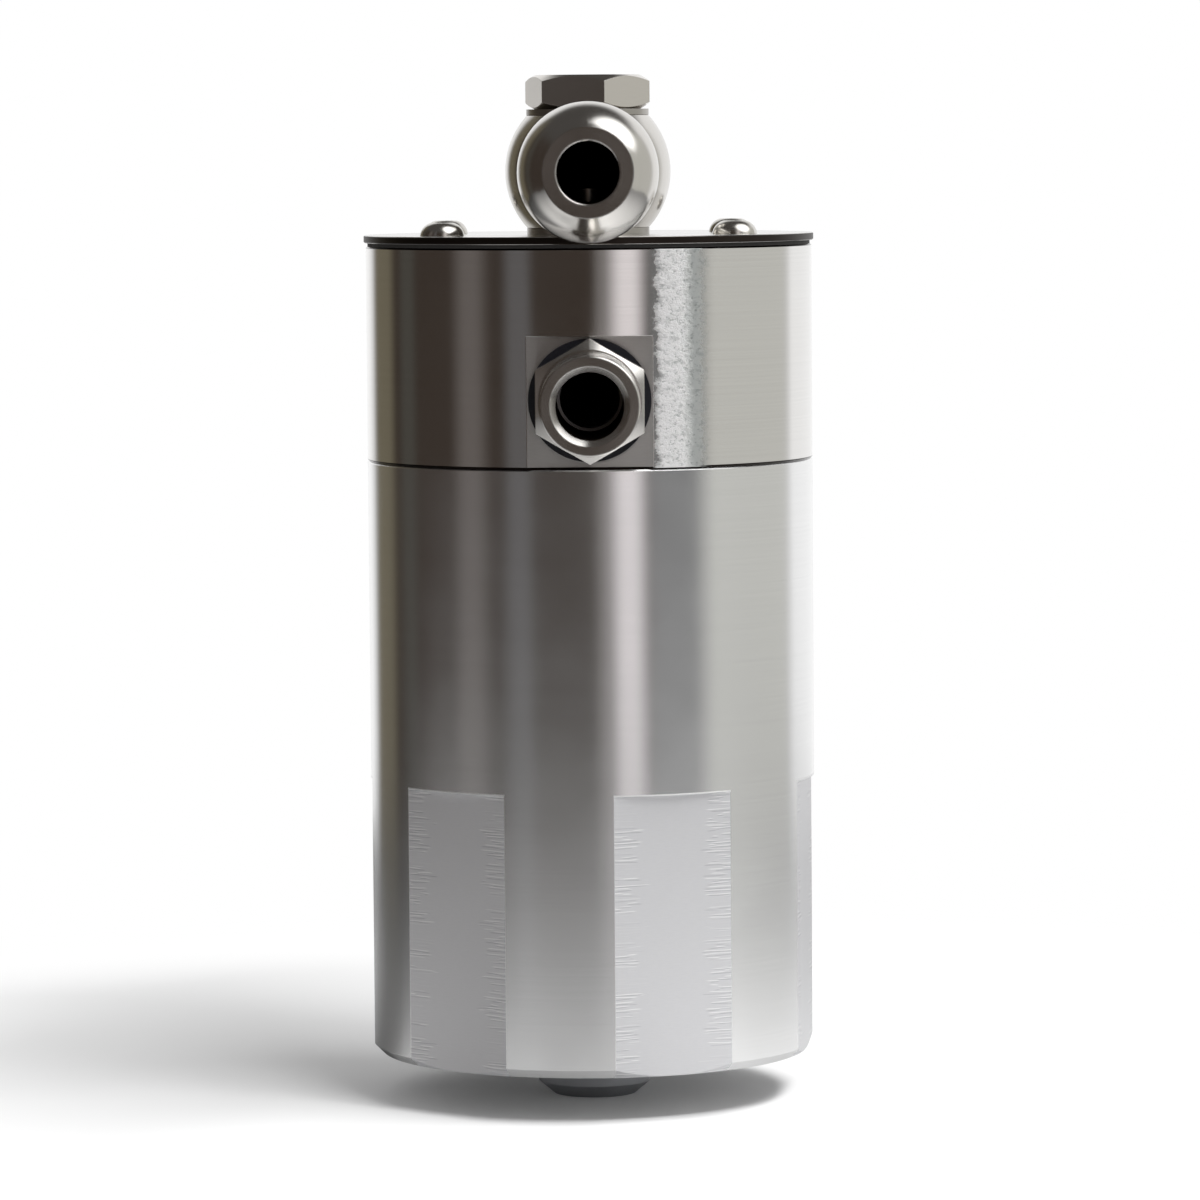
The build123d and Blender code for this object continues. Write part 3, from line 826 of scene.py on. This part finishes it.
@dataclass(frozen=True)
class BowlFinish(MetalFinish):
    """Satin turned metal with matte milled flats, whose tool marks carry painted shade and painted highlight
    and whose tops carry a painted highlight line.

    Attributes:
        milled_colour: Colour of the flats.
        milled_roughness: Roughness of the flats.
        mark_pitch: Spacing of the tool marks along the flats' edges.
        mark_depth: Depth of those marks.
        mark_painted_light: How strongly the painted shade and painted highlight on their two sides show.
        grain_depth: Depth of the flats' fine grain.
        top_highlight: Height of the painted highlight, a white line, over each flat's top.
        top_highlight_roughness: How much rougher that painted highlight line is.
        corner_radius: Smallest radius at which the chamfer under a flat is milled.
    """

    milled_colour: Colour = (0.77, 0.77, 0.785)
    milled_roughness: float = 0.44
    mark_pitch: float = 1.3 * MM
    mark_depth: float = 0.0045 * MM
    mark_painted_light: float = 0.8
    grain_depth: float = 0.004 * MM
    top_highlight: float = 0.3 * MM
    top_highlight_roughness: float = 0.6
    corner_radius: float = 33.0 * MM

    def flat_mask(self, graph: Graph, flats: bpy.types.Node, place: bpy.types.Node, outside: Link) -> Link:
        """Mask the milled flats and the corners that they cut off the chamfer.

        Args:
            graph: The material's graph.
            flats: The node that says where the flats lie.
            place: The node with the radius and height.
            outside: The mask of the bowl's outer side.

        Returns:
            1 where the bowl is milled and 0 elsewhere.
        """
        radius, height = place.outputs["Radius"], place.outputs["Height"]
        flat = graph.product(flats.outputs["Flat"], graph.below(height, BODY.flat_top),
                             graph.above(height, BODY.chamfer_top), outside)
        corner = graph.product(graph.below(height, BODY.chamfer_top + HAIR),
                               graph.above(radius, self.corner_radius), flats.outputs["Span"])
        return graph.math("MAXIMUM", flat, corner)

    def milled(self, graph: Graph, flats: bpy.types.Node) -> Link:
        """Colour of the milled metal with its tool marks, one side of each painted in shade and the other
        painted in highlight.

        Args:
            graph: The material's graph.
            flats: The node with the marks and the grain.

        Returns:
            The colour.
        """
        marks = flats.outputs["Marks"]
        relief = graph.node("ShaderNodeMix", data_type="RGBA", blend_type="OVERLAY")
        graph.feed(relief.inputs["Factor"], graph.product(graph.math("ABSOLUTE", marks), self.mark_painted_light))
        graph.feed(relief.inputs[6], graph.mix(flats.outputs["Grain"], opaque(self.milled_colour, 0.88),
                                               opaque(self.milled_colour)))
        # Painted shade and painted highlight: the marks' dark sides go towards dark grey and their bright
        # sides towards white.
        shade = graph.ramp(marks, -1.0, 1.0, 0.0, 1.0, smooth=False)
        graph.feed(relief.inputs[7], graph.mix(shade, grey(0.12), WHITE))
        return relief.outputs[2]

    def build(self) -> bpy.types.Material:
        """Make the material.

        Returns:
            The material.
        """
        material, graph, shader, where = self.start()
        colour, roughness, rings = self.surface(graph, where)
        flats = graph.group(GROUPS.wrench_flats(), Vector=where, Body_Radius=BODY.radius,
                            First_Angle=math.radians(BODY.flat_azimuth - 90.0), Pitch=self.mark_pitch)
        place = graph.group(GROUPS.lathe_coordinates(), Vector=where)
        outside = graph.above(place.outputs["Radius"], BODY.flat_distance - HAIR)
        flat = self.flat_mask(graph, flats, place, outside)
        over = graph.math("SUBTRACT", place.outputs["Height"], BODY.flat_top)
        # Painted highlight: a thin white line just over each flat's top, standing in for the bright
        # reflection on the ledge's edge.
        top_highlight = graph.product(flats.outputs["Span"], graph.ramp(over, 0.0, self.top_highlight, 1.0, 0.0),
                             graph.above(over, -1.5 * HAIR), outside)
        shown = graph.mix(flat, colour, self.milled(graph, flats))
        graph.feed(shader.inputs["Base Color"], graph.mix(top_highlight, shown, WHITE))
        grain = flats.outputs["Grain"]
        rough_flat = graph.ramp(grain, 0.2, 0.8, self.milled_roughness - 0.06, self.milled_roughness + 0.06)
        wanted = graph.math("ADD", graph.product(graph.math("SUBTRACT", 1.0, flat), roughness),
                            graph.product(flat, rough_flat))
        graph.feed(shader.inputs["Roughness"],
                   graph.math("ADD", wanted, graph.product(top_highlight, self.top_highlight_roughness)))
        carved = graph.product(flats.outputs["Marks"], flat, self.mark_depth)
        grained = graph.product(grain, flat, self.grain_depth)
        height = graph.math("ADD", rings, graph.math("ADD", carved, grained))
        graph.feed(shader.inputs["Normal"], self.bump(graph, height))
        return material


@dataclass(frozen=True)
class LidFinish(MetalFinish):
    """Polished sheet whose cut edge is painted dark as a painted reflection of the dark room, and whose
    underside is painted dark as shade.

    Attributes:
        painted_dark_colour: Colour painted on the cut edge and the underside.
        edge_roughness: Roughness of the cut edge.
        edge_reach: How far it reaches inwards.
        underside_reach: How far up the painted shade on the underside reaches.
    """

    painted_dark_colour: Colour = (0.035, 0.028, 0.024)
    edge_roughness: float = 0.42
    edge_reach: float = 0.12 * MM
    underside_reach: float = 0.05 * MM

    def build(self) -> bpy.types.Material:
        """Make the material.

        Returns:
            The material.
        """
        material, graph, shader, where = self.start()
        colour, roughness, height = self.surface(graph, where)
        place = graph.group(GROUPS.lathe_coordinates(), Vector=where)
        # Painted reflection on the cut edge and painted shade on the underside: both get the dark colour.
        rim = graph.above(place.outputs["Radius"], BODY.lid_radius - self.edge_reach)
        below = graph.below(place.outputs["Height"], BODY.lid_underside + self.underside_reach)
        edge = graph.math("MAXIMUM", rim, below)
        graph.feed(shader.inputs["Base Color"], graph.mix(edge, colour, opaque(self.painted_dark_colour)))
        plain = graph.product(graph.math("SUBTRACT", 1.0, edge), roughness)
        graph.feed(shader.inputs["Roughness"],
                   graph.math("ADD", plain, graph.product(edge, self.edge_roughness)))
        graph.feed(shader.inputs["Normal"], self.bump(graph, height))
        return material


@dataclass(frozen=True)
class RubberFinish:
    """Matt rubber or fibre, slightly dusty.

    Attributes:
        name: The material's name.
        colour: Its colour.
        roughness: Its roughness.
        grain: Size of its grain.
    """

    name: str
    colour: Colour
    roughness: float = 0.6
    grain: float = 0.3 * MM

    def build(self) -> bpy.types.Material:
        """Make the material.

        Returns:
            The material.
        """
        material = bpy.data.materials.new(self.name)
        material.use_nodes = True
        graph = Graph(material.node_tree)
        shader = material.node_tree.nodes["Principled BSDF"]
        where = graph.node("ShaderNodeTexCoord").outputs["Object"]
        grain = graph.noise(where, 1 / self.grain, 3.0, 0.6)
        light = tuple(min(1.0, c * 1.6 + 0.003) for c in self.colour)
        graph.feed(shader.inputs["Base Color"], graph.mix(grain, opaque(self.colour), opaque(light)))
        graph.feed(shader.inputs["Roughness"],
                   graph.ramp(grain, 0.2, 0.8, self.roughness, self.roughness + 0.15))
        shader.inputs["Specular IOR Level"].default_value = 0.25
        bump = graph.node("ShaderNodeBump")
        bump.inputs["Strength"].default_value = 1.0
        bump.inputs["Distance"].default_value = 0.01 * MM
        graph.feed(bump.inputs["Height"], grain)
        graph.feed(shader.inputs["Normal"], bump.outputs[0])
        return material


@dataclass(frozen=True)
class MeshWireFinish:
    """A pad of knitted wire: crossing loops of fine wire with dark gaps.

    Attributes:
        name: The material's name.
        colour: Colour of the wire.
        loop: Size of one loop.
    """

    name: str
    colour: Colour
    loop: float = 2.2 * MM

    def build(self) -> bpy.types.Material:
        """Make the material.

        Returns:
            The material.
        """
        material = bpy.data.materials.new(self.name)
        material.use_nodes = True
        graph = Graph(material.node_tree)
        shader = material.node_tree.nodes["Principled BSDF"]
        shader.inputs["Metallic"].default_value = 1.0
        where = graph.node("ShaderNodeTexCoord").outputs["Object"]
        waves = []
        for direction in ("X", "Y"):
            wave = graph.node("ShaderNodeTexWave", wave_type="BANDS", bands_direction=direction)
            graph.feed(wave.inputs["Vector"], where)
            graph.feed(wave.inputs["Scale"], 0.32 / self.loop)
            graph.feed(wave.inputs["Distortion"], 6.0)
            waves.append(wave.outputs["Fac"])
        wire = graph.math("MAXIMUM", *waves)
        shade = graph.ramp(wire, 0.45, 0.85)
        graph.feed(shader.inputs["Base Color"],
                   graph.mix(shade, opaque(self.colour, 0.1), opaque(self.colour)))
        graph.feed(shader.inputs["Roughness"], graph.ramp(wire, 0.4, 0.9, 0.7, 0.3))
        bump = graph.node("ShaderNodeBump")
        bump.inputs["Strength"].default_value = 1.0
        bump.inputs["Distance"].default_value = 0.2 * MM
        graph.feed(bump.inputs["Height"], wire)
        graph.feed(shader.inputs["Normal"], bump.outputs[0])
        return material


INLET_CENTRE = (0.0, 0.0, BODY.inlet_level)
OUTLET_CENTRE = (0.0, 0.0, BODY.outlet_level)


def dress(node: str, material: bpy.types.Material) -> None:
    """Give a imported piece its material.

    Args:
        node: The piece's name.
        material: Its material.
    """
    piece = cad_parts[node]
    if not piece.material_slots:
        piece.data.materials.append(material)
    for place in piece.material_slots:
        place.material = material
    log.info("dressed %s in %s", node, material.name)


@dataclass
class HeadAssembly:
    """The head with its lid, gasket, screws and inner mesh pack.

    Attributes:
        finish: The head's surface.
        lid: The lid's surface.
        screws: The lid screws' surface.
        inside: The dip tube's and the two grids' surface.
        spring: The spring ring's surface.
        gasket: The lid gasket's surface.
        wire: The mesh pack's surface.
    """

    finish: HeadFinish = HeadFinish(
        "head aluminium", (0.80, 0.79, 0.775), 0.14, anisotropy=0.75, ring_shade=0.10, smudge=0.02,
        threads=(ThreadZone(33.2 * MM, 33.9 * MM, 94.6 * MM, 106.8 * MM, 1.5 * MM, 0.5 * MM),))
    lid: LidFinish = LidFinish("lid sheet", (0.74, 0.73, 0.71), 0.10, smudge=0.05)
    screws: MetalFinish = MetalFinish("screw steel", (0.66, 0.64, 0.60), 0.16)
    inside: MetalFinish = MetalFinish("inner metal", (0.62, 0.62, 0.61), 0.3)
    spring: MetalFinish = MetalFinish("spring steel", (0.35, 0.35, 0.36), 0.35)
    gasket: RubberFinish = RubberFinish("gasket rubber", (0.02, 0.019, 0.018))
    wire: MeshWireFinish = MeshWireFinish("knitted wire", (0.62, 0.62, 0.60))

    def build(self) -> None:
        """Dress the head's pieces."""
        dress("head", self.finish.build())
        dress("lid_plate", self.lid.build())
        dress("lid_gasket", self.gasket.build())
        dress("lid_screws", self.screws.build())
        dress("mesh_pack", self.wire.build())
        inside = self.inside.build()
        for node in ("dip_tube", "upper_grid", "lower_grid"):
            dress(node, inside)
        dress("media_ring", self.spring.build())


@dataclass
class BowlAssembly:
    """The bowl with its flats, seals, baffle and drain plug.

    Attributes:
        finish: The bowl's surface.
        plug: The drain plug's surface.
        baffle: The baffle's surface.
        spring: The baffle ring's surface.
        seal: The surface of both seals.
    """

    finish: BowlFinish = BowlFinish(
        "bowl aluminium", (0.85, 0.85, 0.85), 0.2, anisotropy=0.75, ring_shade=0.08, smudge=0.02,
        edge_radius=0.16 * MM, speck_spacing=14 * MM,
        threads=(ThreadZone(33.3 * MM, 33.9 * MM, 94.0 * MM, 109.0 * MM, 1.5 * MM, 0.4 * MM),
                 ThreadZone(6.3 * MM, 6.9 * MM, 8.5 * MM, 15.8 * MM, 1.34 * MM, 0.3 * MM)))
    plug: MetalFinish = MetalFinish(
        "plug steel", (0.40, 0.41, 0.43), 0.5, metallic=0.6,
        threads=(ThreadZone(6.3 * MM, 6.9 * MM, 8.4 * MM, 16.0 * MM, 1.34 * MM, 0.45 * MM),))
    baffle: MetalFinish = MetalFinish("baffle aluminium", (0.66, 0.66, 0.66), 0.32)
    spring: MetalFinish = MetalFinish("baffle spring steel", (0.35, 0.35, 0.36), 0.35)
    seal: RubberFinish = RubberFinish("seal rubber", (0.02, 0.02, 0.022))

    def build(self) -> None:
        """Dress the bowl's pieces."""
        dress("bowl", self.finish.build())
        dress("drain_plug", self.plug.build())
        dress("sump_baffle", self.baffle.build())
        dress("baffle_ring", self.spring.build())
        seal = self.seal.build()
        for node in ("bowl_seal", "drain_seal"):
            dress(node, seal)


@dataclass
class InletAssembly:
    """The inlet fitting and its seal.

    Attributes:
        finish: The fitting's surface.
        seal: The seal's surface.
    """

    finish: MetalFinish = MetalFinish(
        "inlet metal", (0.72, 0.70, 0.67), 0.16, anisotropy=0.3, axis=LatheAxis.FORWARD,
        centre=INLET_CENTRE, edge_radius=0.3 * MM, bore_radius=5.53 * MM)
    seal: RubberFinish = RubberFinish("inlet seal rubber", (0.004, 0.004, 0.006))

    def build(self) -> None:
        """Dress the inlet's pieces."""
        dress("inlet_fitting", self.finish.build())
        dress("inlet_seal", self.seal.build())


@dataclass
class OutletAssembly:
    """The hollow bolt, its washers and nut, and the swivelling ball with its hose tail.

    Attributes:
        ball: The surface of the ball and its hose tail.
        bolt: The bolt's surface.
        washer: The surface of the three washers.
        nut: The nut's surface.
    """

    ball: MetalFinish = MetalFinish(
        "outlet metal", (0.70, 0.68, 0.65), 0.15, anisotropy=0.3, axis=LatheAxis.FORWARD,
        centre=OUTLET_CENTRE, edge_radius=0.35 * MM, bore_radius=5.12 * MM, bore_end=-2 * MM)
    bolt: MetalFinish = MetalFinish(
        "bolt metal", (0.72, 0.69, 0.65), 0.12, bore_radius=6.4 * MM, bore_end=168.2 * MM)
    washer: MetalFinish = MetalFinish("washer metal", (0.45, 0.43, 0.40), 0.3)
    nut: MetalFinish = MetalFinish("nut steel", (0.60, 0.59, 0.57), 0.3)

    def build(self) -> None:
        """Dress the outlet's pieces."""
        dress("outlet_fitting", self.ball.build())
        dress("outlet_bolt", self.bolt.build())
        washer = self.washer.build()
        for node in ("lower_washer", "upper_washer", "nut_washer"):
            dress(node, washer)
        dress("outlet_nut", self.nut.build())


def direction_of(azimuth: float, elevation: float) -> Vector:
    """Unit vector towards a place in the studio.

    Args:
        azimuth: 0 towards the camera and 90 to the right, in degrees.
        elevation: Degrees above the horizon.

    Returns:
        The direction.
    """
    around, above = math.radians(azimuth), math.radians(elevation)
    return Vector((math.sin(around) * math.cos(above), -math.cos(around) * math.cos(above), math.sin(above)))


@dataclass(frozen=True)
class StudioPanel:
    """A soft bright area of the studio that polished metal reflects.

    Attributes:
        centre: Its azimuth in degrees, 0 towards the camera and 90 to the right.
        half_width: Half its width in degrees.
        softness: How far its edge fades, in degrees.
        strength: Its brightness.
        tint: Its colour.
    """

    centre: float
    half_width: float
    softness: float
    strength: float
    tint: Colour = (1.0, 1.0, 1.0)


@dataclass(frozen=True)
class StudioLamp:
    """A wide soft lamp. Two of them side by side throw one soft shadow.

    Attributes:
        azimuth: Its azimuth in degrees, 0 towards the camera and 90 to the right.
        elevation: Degrees above the horizon.
        width: Its width.
        height: Its height.
        power: Its power in watts.
    """

    azimuth: float
    elevation: float
    width: float
    height: float
    power: float


@dataclass
class Studio:
    """The pale floor, the room that metal reflects, and the lamps.

    Attributes:
        room: The room's walls, as metal reflects them.
        ceiling: The ceiling, as metal reflects it.
        ceiling_from: Upward part of a direction at which the ceiling begins.
        ceiling_to: Upward part of a direction from which only the ceiling shows.
        soft_box: Brightness of the soft box in the ceiling.
        soft_box_azimuth: Its azimuth in degrees.
        soft_box_elevation: Degrees above the horizon.
        soft_box_half_angle: Half its width in degrees.
        ambient: The even light from all sides.
        lamp_distance: Distance of the lamps.
        lamps: The lamps.
        floor_colour: How light the floor is.
        floor_in_metal: The floor's colour as metal sees it, a painted pool of light that darkens from the
            can's axis to the paper's edge.
        floor_sides: What that painted light is multiplied by, over the azimuth in degrees.
        floor_lift: A little light that keeps its shadows open.
        paper_radius: Radius of the floor that metal reflects.
        far_radius: Radius of the wider floor that only the camera sees.
        far_drop: How far the wider floor lies lower.
        floor_corners: Number of corners of the two round floors.
        white_from: Radius at which the floor begins to fade to white.
        white_to: Radius from which it is white.
        panels: The soft panels. A later one covers an earlier one.
    """

    room: Colour = (0.046, 0.035, 0.028)
    ceiling: Colour = (0.075, 0.070, 0.066)
    ceiling_from: float = 0.5
    ceiling_to: float = 0.78
    soft_box: float = 2.4
    soft_box_azimuth: float = 64.0
    soft_box_elevation: float = 52.0
    soft_box_half_angle: float = 26.0
    ambient: float = 0.50
    lamp_distance: float = 1.7
    lamps: tuple[StudioLamp, ...] = (
        StudioLamp(34.0, 50.0, 0.9, 0.3, 17.0),
        StudioLamp(66.0, 59.0, 1.0, 0.3, 13.0),
    )
    floor_colour: float = 0.86
    floor_in_metal: Curve = (
        (0.0, 0.40), (0.1, 0.44), (0.16, 0.62), (0.24, 0.56), (0.36, 0.47), (0.7, 0.24), (1.0, 0.12))
    floor_sides: Curve = (
        (-180.0, 1.3), (-152.0, 0.95), (-135.0, 0.55), (-114.0, 0.36), (-95.0, 0.9), (-77.0, 1.35),
        (-62.0, 1.15), (-42.0, 0.9), (-30.0, 0.98), (-12.0, 0.92), (4.0, 0.93), (20.0, 1.2),
        (42.0, 1.5), (88.0, 1.3), (118.0, 1.3), (140.0, 1.35), (180.0, 1.3))
    floor_lift: float = 0.02
    paper_radius: float = 0.42
    far_radius: float = 8.0
    far_drop: float = 0.02 * MM
    floor_corners: int = 96
    white_from: float = 0.16
    white_to: float = 0.24
    panels: tuple[StudioPanel, ...] = (
        StudioPanel(180.0, 19.0, 30.0, 1.0),
        StudioPanel(-134.0, 6.0, 11.0, 0.16, (1.0, 0.88, 0.62)),
        StudioPanel(-108.0, 2.0, 8.0, 0.07, (1.0, 0.93, 0.80)),
        StudioPanel(-64.0, 2.0, 12.0, 0.14, (1.0, 0.88, 0.82)),
        StudioPanel(-37.0, 2.5, 8.0, 0.12, (1.0, 0.95, 0.95)),
        StudioPanel(9.0, 2.5, 6.5, 0.2, (1.0, 0.92, 0.88)),
        StudioPanel(48.0, 12.0, 10.0, 0.19),
        StudioPanel(92.0, 24.0, 16.0, 0.62, (0.99, 0.985, 0.93)),
        StudioPanel(150.0, 20.0, 14.0, 1.0),
        StudioPanel(19.5, 2.0, 11.0, 0.87, (1.0, 0.94, 0.95)),
    )

    def panel_group(self) -> bpy.types.NodeTree:
        """The group that says how far a direction lies in a soft panel.

        Returns:
            The group. Light is 0 outside the panel and 1 within it.
        """
        graph, given, result = GROUPS.start(
            "soft panel",
            {"Azimuth": Socket.FLOAT, "Centre": Socket.FLOAT, "Half Width": Socket.FLOAT,
             "Softness": Socket.FLOAT},
            {"Light": Socket.FLOAT},
        )
        turn = graph.math("SUBTRACT", given["Azimuth"], given["Centre"])
        away = graph.math("ABSOLUTE", graph.math("WRAP", turn, 180.0, -180.0))
        past = graph.math("DIVIDE", graph.math("SUBTRACT", away, given["Half Width"]), given["Softness"])
        graph.feed(result["Light"], graph.ramp(past, 0.0, 1.0, 1.0, 0.0))
        return GROUPS.built["soft panel"]

    def build_world(self) -> None:
        """Make the world: white for the camera, a plain room with soft panels for reflections."""
        world = bpy.data.worlds.new("studio")
        world.use_nodes = True
        world.node_tree.nodes.clear()
        graph = Graph(world.node_tree)
        direction = graph.node("ShaderNodeSeparateXYZ")
        graph.feed(direction.inputs[0], graph.node("ShaderNodeTexCoord").outputs["Generated"])
        x, y, z = direction.outputs
        azimuth = graph.math("DEGREES", graph.math("ARCTAN2", x, graph.product(y, -1.0)))
        group = self.panel_group()
        light: object = opaque(self.room)
        for panel in self.panels:
            inside = graph.group(group, Azimuth=azimuth, Centre=panel.centre, Half_Width=panel.half_width,
                                 Softness=panel.softness).outputs["Light"]
            light = graph.mix(inside, light, opaque(panel.tint, panel.strength))
        light = graph.mix(graph.ramp(z, self.ceiling_from, self.ceiling_to), light, opaque(self.ceiling))
        towards = graph.node("ShaderNodeVectorMath", operation="DOT_PRODUCT")
        graph.feed(towards.inputs[0], graph.node("ShaderNodeTexCoord").outputs["Generated"])
        graph.feed(towards.inputs[1], tuple(direction_of(self.soft_box_azimuth, self.soft_box_elevation)))
        rim = math.radians(self.soft_box_half_angle)
        lit = graph.ramp(towards.outputs["Value"], math.cos(rim + 0.16), math.cos(rim - 0.1))
        light = graph.mix(lit, light, grey(self.soft_box))
        paths = graph.node("ShaderNodeLightPath")
        plain = graph.mix(paths.outputs["Is Camera Ray"], grey(self.ambient), WHITE)
        seen = graph.mix(paths.outputs["Is Glossy Ray"], plain, light)
        background = graph.node("ShaderNodeBackground")
        graph.feed(background.inputs["Color"], seen)
        output = graph.node("ShaderNodeOutputWorld")
        graph.feed(output.inputs["Surface"], background.outputs[0])
        bpy.context.scene.world = world

    def curve(self, graph: Graph, value: object, points: Curve) -> Link:
        """Map a value between 0 and 1 along a smooth curve.

        Args:
            graph: The graph to build in.
            value: The input.
            points: The curve's points, with results between 0 and 1.

        Returns:
            The mapped value.
        """
        made = graph.node("ShaderNodeFloatCurve")
        line = made.mapping.curves[0]
        line.points[0].location, line.points[1].location = points[0], points[-1]
        for spot in points[1:-1]:
            line.points.new(*spot)
        made.mapping.update()
        graph.feed(made.inputs["Value"], value)
        return made.outputs[0]

    def floor_tone(self, graph: Graph, radius: Link) -> Link:
        """How light the floor looks in metal: a painted pool of light over the lamps' real light, darker away
        from the can and lighter on the right.

        Args:
            graph: The floor material's graph.
            radius: Distance of the place from the can's axis.

        Returns:
            The floor's colour in metal.
        """
        far = graph.math("DIVIDE", radius, self.paper_radius)
        fading = self.curve(graph, far, self.floor_in_metal)
        split = graph.node("ShaderNodeSeparateXYZ")
        graph.feed(split.inputs[0], graph.node("ShaderNodeTexCoord").outputs["Object"])
        turn = graph.math("ARCTAN2", split.outputs[0], graph.product(split.outputs[1], -1.0))
        turn = graph.math("ADD", graph.math("DIVIDE", turn, 2 * math.pi), 0.5)
        halved = tuple((azimuth / 360 + 0.5, tone / 2) for azimuth, tone in self.floor_sides)
        side = graph.product(self.curve(graph, turn, halved), 2.0)
        tone = graph.product(fading, side)
        return graph.combine(tone, tone, tone)

    def floor_material(self) -> bpy.types.Material:
        """Make the floor's material, which fades to white for the camera.

        Returns:
            The material.
        """
        material = bpy.data.materials.new("floor paper")
        material.use_nodes = True
        graph = Graph(material.node_tree)
        material.node_tree.nodes.remove(material.node_tree.nodes["Principled BSDF"])
        paths = graph.node("ShaderNodeLightPath")
        where = graph.node("ShaderNodeTexCoord").outputs["Object"]
        place = graph.group(GROUPS.lathe_coordinates(), Vector=where)
        in_metal = self.floor_tone(graph, place.outputs["Radius"])
        plain = graph.node("ShaderNodeBsdfDiffuse")
        # Painted light: glossy rays see the floor in a colour that follows the painted pool of light, not the
        # plain floor colour.
        graph.feed(plain.inputs["Color"],
                   graph.mix(paths.outputs["Is Glossy Ray"], grey(self.floor_colour), in_metal))
        lift = graph.node("ShaderNodeEmission")
        graph.feed(lift.inputs["Strength"], graph.product(paths.outputs["Is Camera Ray"], self.floor_lift))
        near = graph.node("ShaderNodeAddShader")
        graph.feed(near.inputs[0], plain.outputs[0])
        graph.feed(near.inputs[1], lift.outputs[0])
        white = graph.node("ShaderNodeEmission")
        away = graph.ramp(place.outputs["Radius"], self.white_from, self.white_to)
        both = graph.node("ShaderNodeMixShader")
        graph.feed(both.inputs[0], graph.product(away, paths.outputs["Is Camera Ray"]))
        graph.feed(both.inputs[1], near.outputs[0])
        graph.feed(both.inputs[2], white.outputs[0])
        graph.feed(material.node_tree.nodes["Material Output"].inputs["Surface"], both.outputs[0])
        return material

    def build_floor(self) -> None:
        """Make the pale floor: a sheet that metal reflects, in a wider floor that only the camera sees."""
        material = self.floor_material()
        turns = [2 * math.pi * corner / self.floor_corners for corner in range(self.floor_corners)]
        for name, radius, level, reflected in (("floor_near", self.paper_radius, 0.0, True),
                                               ("floor_far", self.far_radius, -self.far_drop, False)):
            mesh = bpy.data.meshes.new(name)
            rim = [(radius * math.cos(turn), radius * math.sin(turn), level) for turn in turns]
            mesh.from_pydata(rim, [], [tuple(range(self.floor_corners))])
            mesh.materials.append(material)
            floor = bpy.data.objects.new(name, mesh)
            bpy.context.scene.collection.objects.link(floor)
            floor.visible_glossy = reflected

    def build_lamps(self) -> None:
        """Make the lamps. Metal doesn't reflect them: it reflects the soft panels."""
        for number, lamp in enumerate(self.lamps, 1):
            away = direction_of(lamp.azimuth, lamp.elevation)
            data = bpy.data.lights.new(f"lamp {number}", "AREA")
            data.shape = "ELLIPSE"
            data.size = lamp.width
            data.size_y = lamp.height
            data.energy = lamp.power
            placed = bpy.data.objects.new(f"lamp {number}", data)
            placed.location = away * self.lamp_distance
            placed.visible_glossy = False
            placed.rotation_mode = "QUATERNION"
            placed.rotation_quaternion = away.to_track_quat("Z", "Y")
            bpy.context.scene.collection.objects.link(placed)
            log.info("lamp %d at %.0f degrees", number, lamp.azimuth)

    def build(self) -> None:
        """Make the world, the floor and the lamps, and set the plain view."""
        self.build_world()
        self.build_floor()
        self.build_lamps()
        bpy.context.scene.view_settings.view_transform = "Standard"


@dataclass(frozen=True)
class PhotoCamera:
    """The camera of the reference picture, found from the rims and edges of the body.

    Attributes:
        distance: How far it stands in front of the can's axis.
        height: Its height over the floor.
        pitch: How far it looks down, in degrees.
        yaw: How far it looks to the right, in degrees.
        roll: How far it leans, in degrees.
        focal_length: Its focal length as a share of the picture's width.
        sensor: Width of its sensor, in the unit of the lens.
        nearest: Distance at which it begins to see.
        furthest: Distance at which it ends to see.
    """

    distance: float = 1030.2 * MM
    height: float = 162.9 * MM
    pitch: float = 4.318
    yaw: float = 0.083
    roll: float = -0.455
    focal_length: float = 6012.5 / 1200
    sensor: float = 36.0
    nearest: float = 0.05
    furthest: float = 30.0

    def build(self) -> None:
        """Make the camera and make it the scene's own."""
        pitch, yaw, roll = (math.radians(a) for a in (self.pitch, self.yaw, self.roll))
        ahead = Vector((math.sin(yaw) * math.cos(pitch), math.cos(yaw) * math.cos(pitch), -math.sin(pitch)))
        level = Vector((math.cos(yaw), -math.sin(yaw), 0.0))
        up = level.cross(ahead)
        right = level * math.cos(roll) + up * math.sin(roll)
        top = -level * math.sin(roll) + up * math.cos(roll)
        data = bpy.data.cameras.new("photo camera")
        data.sensor_width = self.sensor
        data.lens = self.sensor * self.focal_length
        data.clip_start = self.nearest
        data.clip_end = self.furthest
        camera = bpy.data.objects.new("photo camera", data)
        turn = Matrix((right, top, -ahead)).transposed()
        camera.matrix_world = Matrix.Translation((0.0, -self.distance, self.height)) @ turn.to_4x4()
        bpy.context.scene.collection.objects.link(camera)
        bpy.context.scene.camera = camera


def main() -> None:
    """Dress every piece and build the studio."""
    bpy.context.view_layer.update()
    for assembly in (HeadAssembly(), BowlAssembly(), InletAssembly(), OutletAssembly()):
        assembly.build()
        log.info("%s is dressed", type(assembly).__name__)
    Studio().build()
    PhotoCamera().build()


if __name__ == "__main__":
    logging.basicConfig(level=logging.INFO, format="%(name)s: %(message)s")
    main()
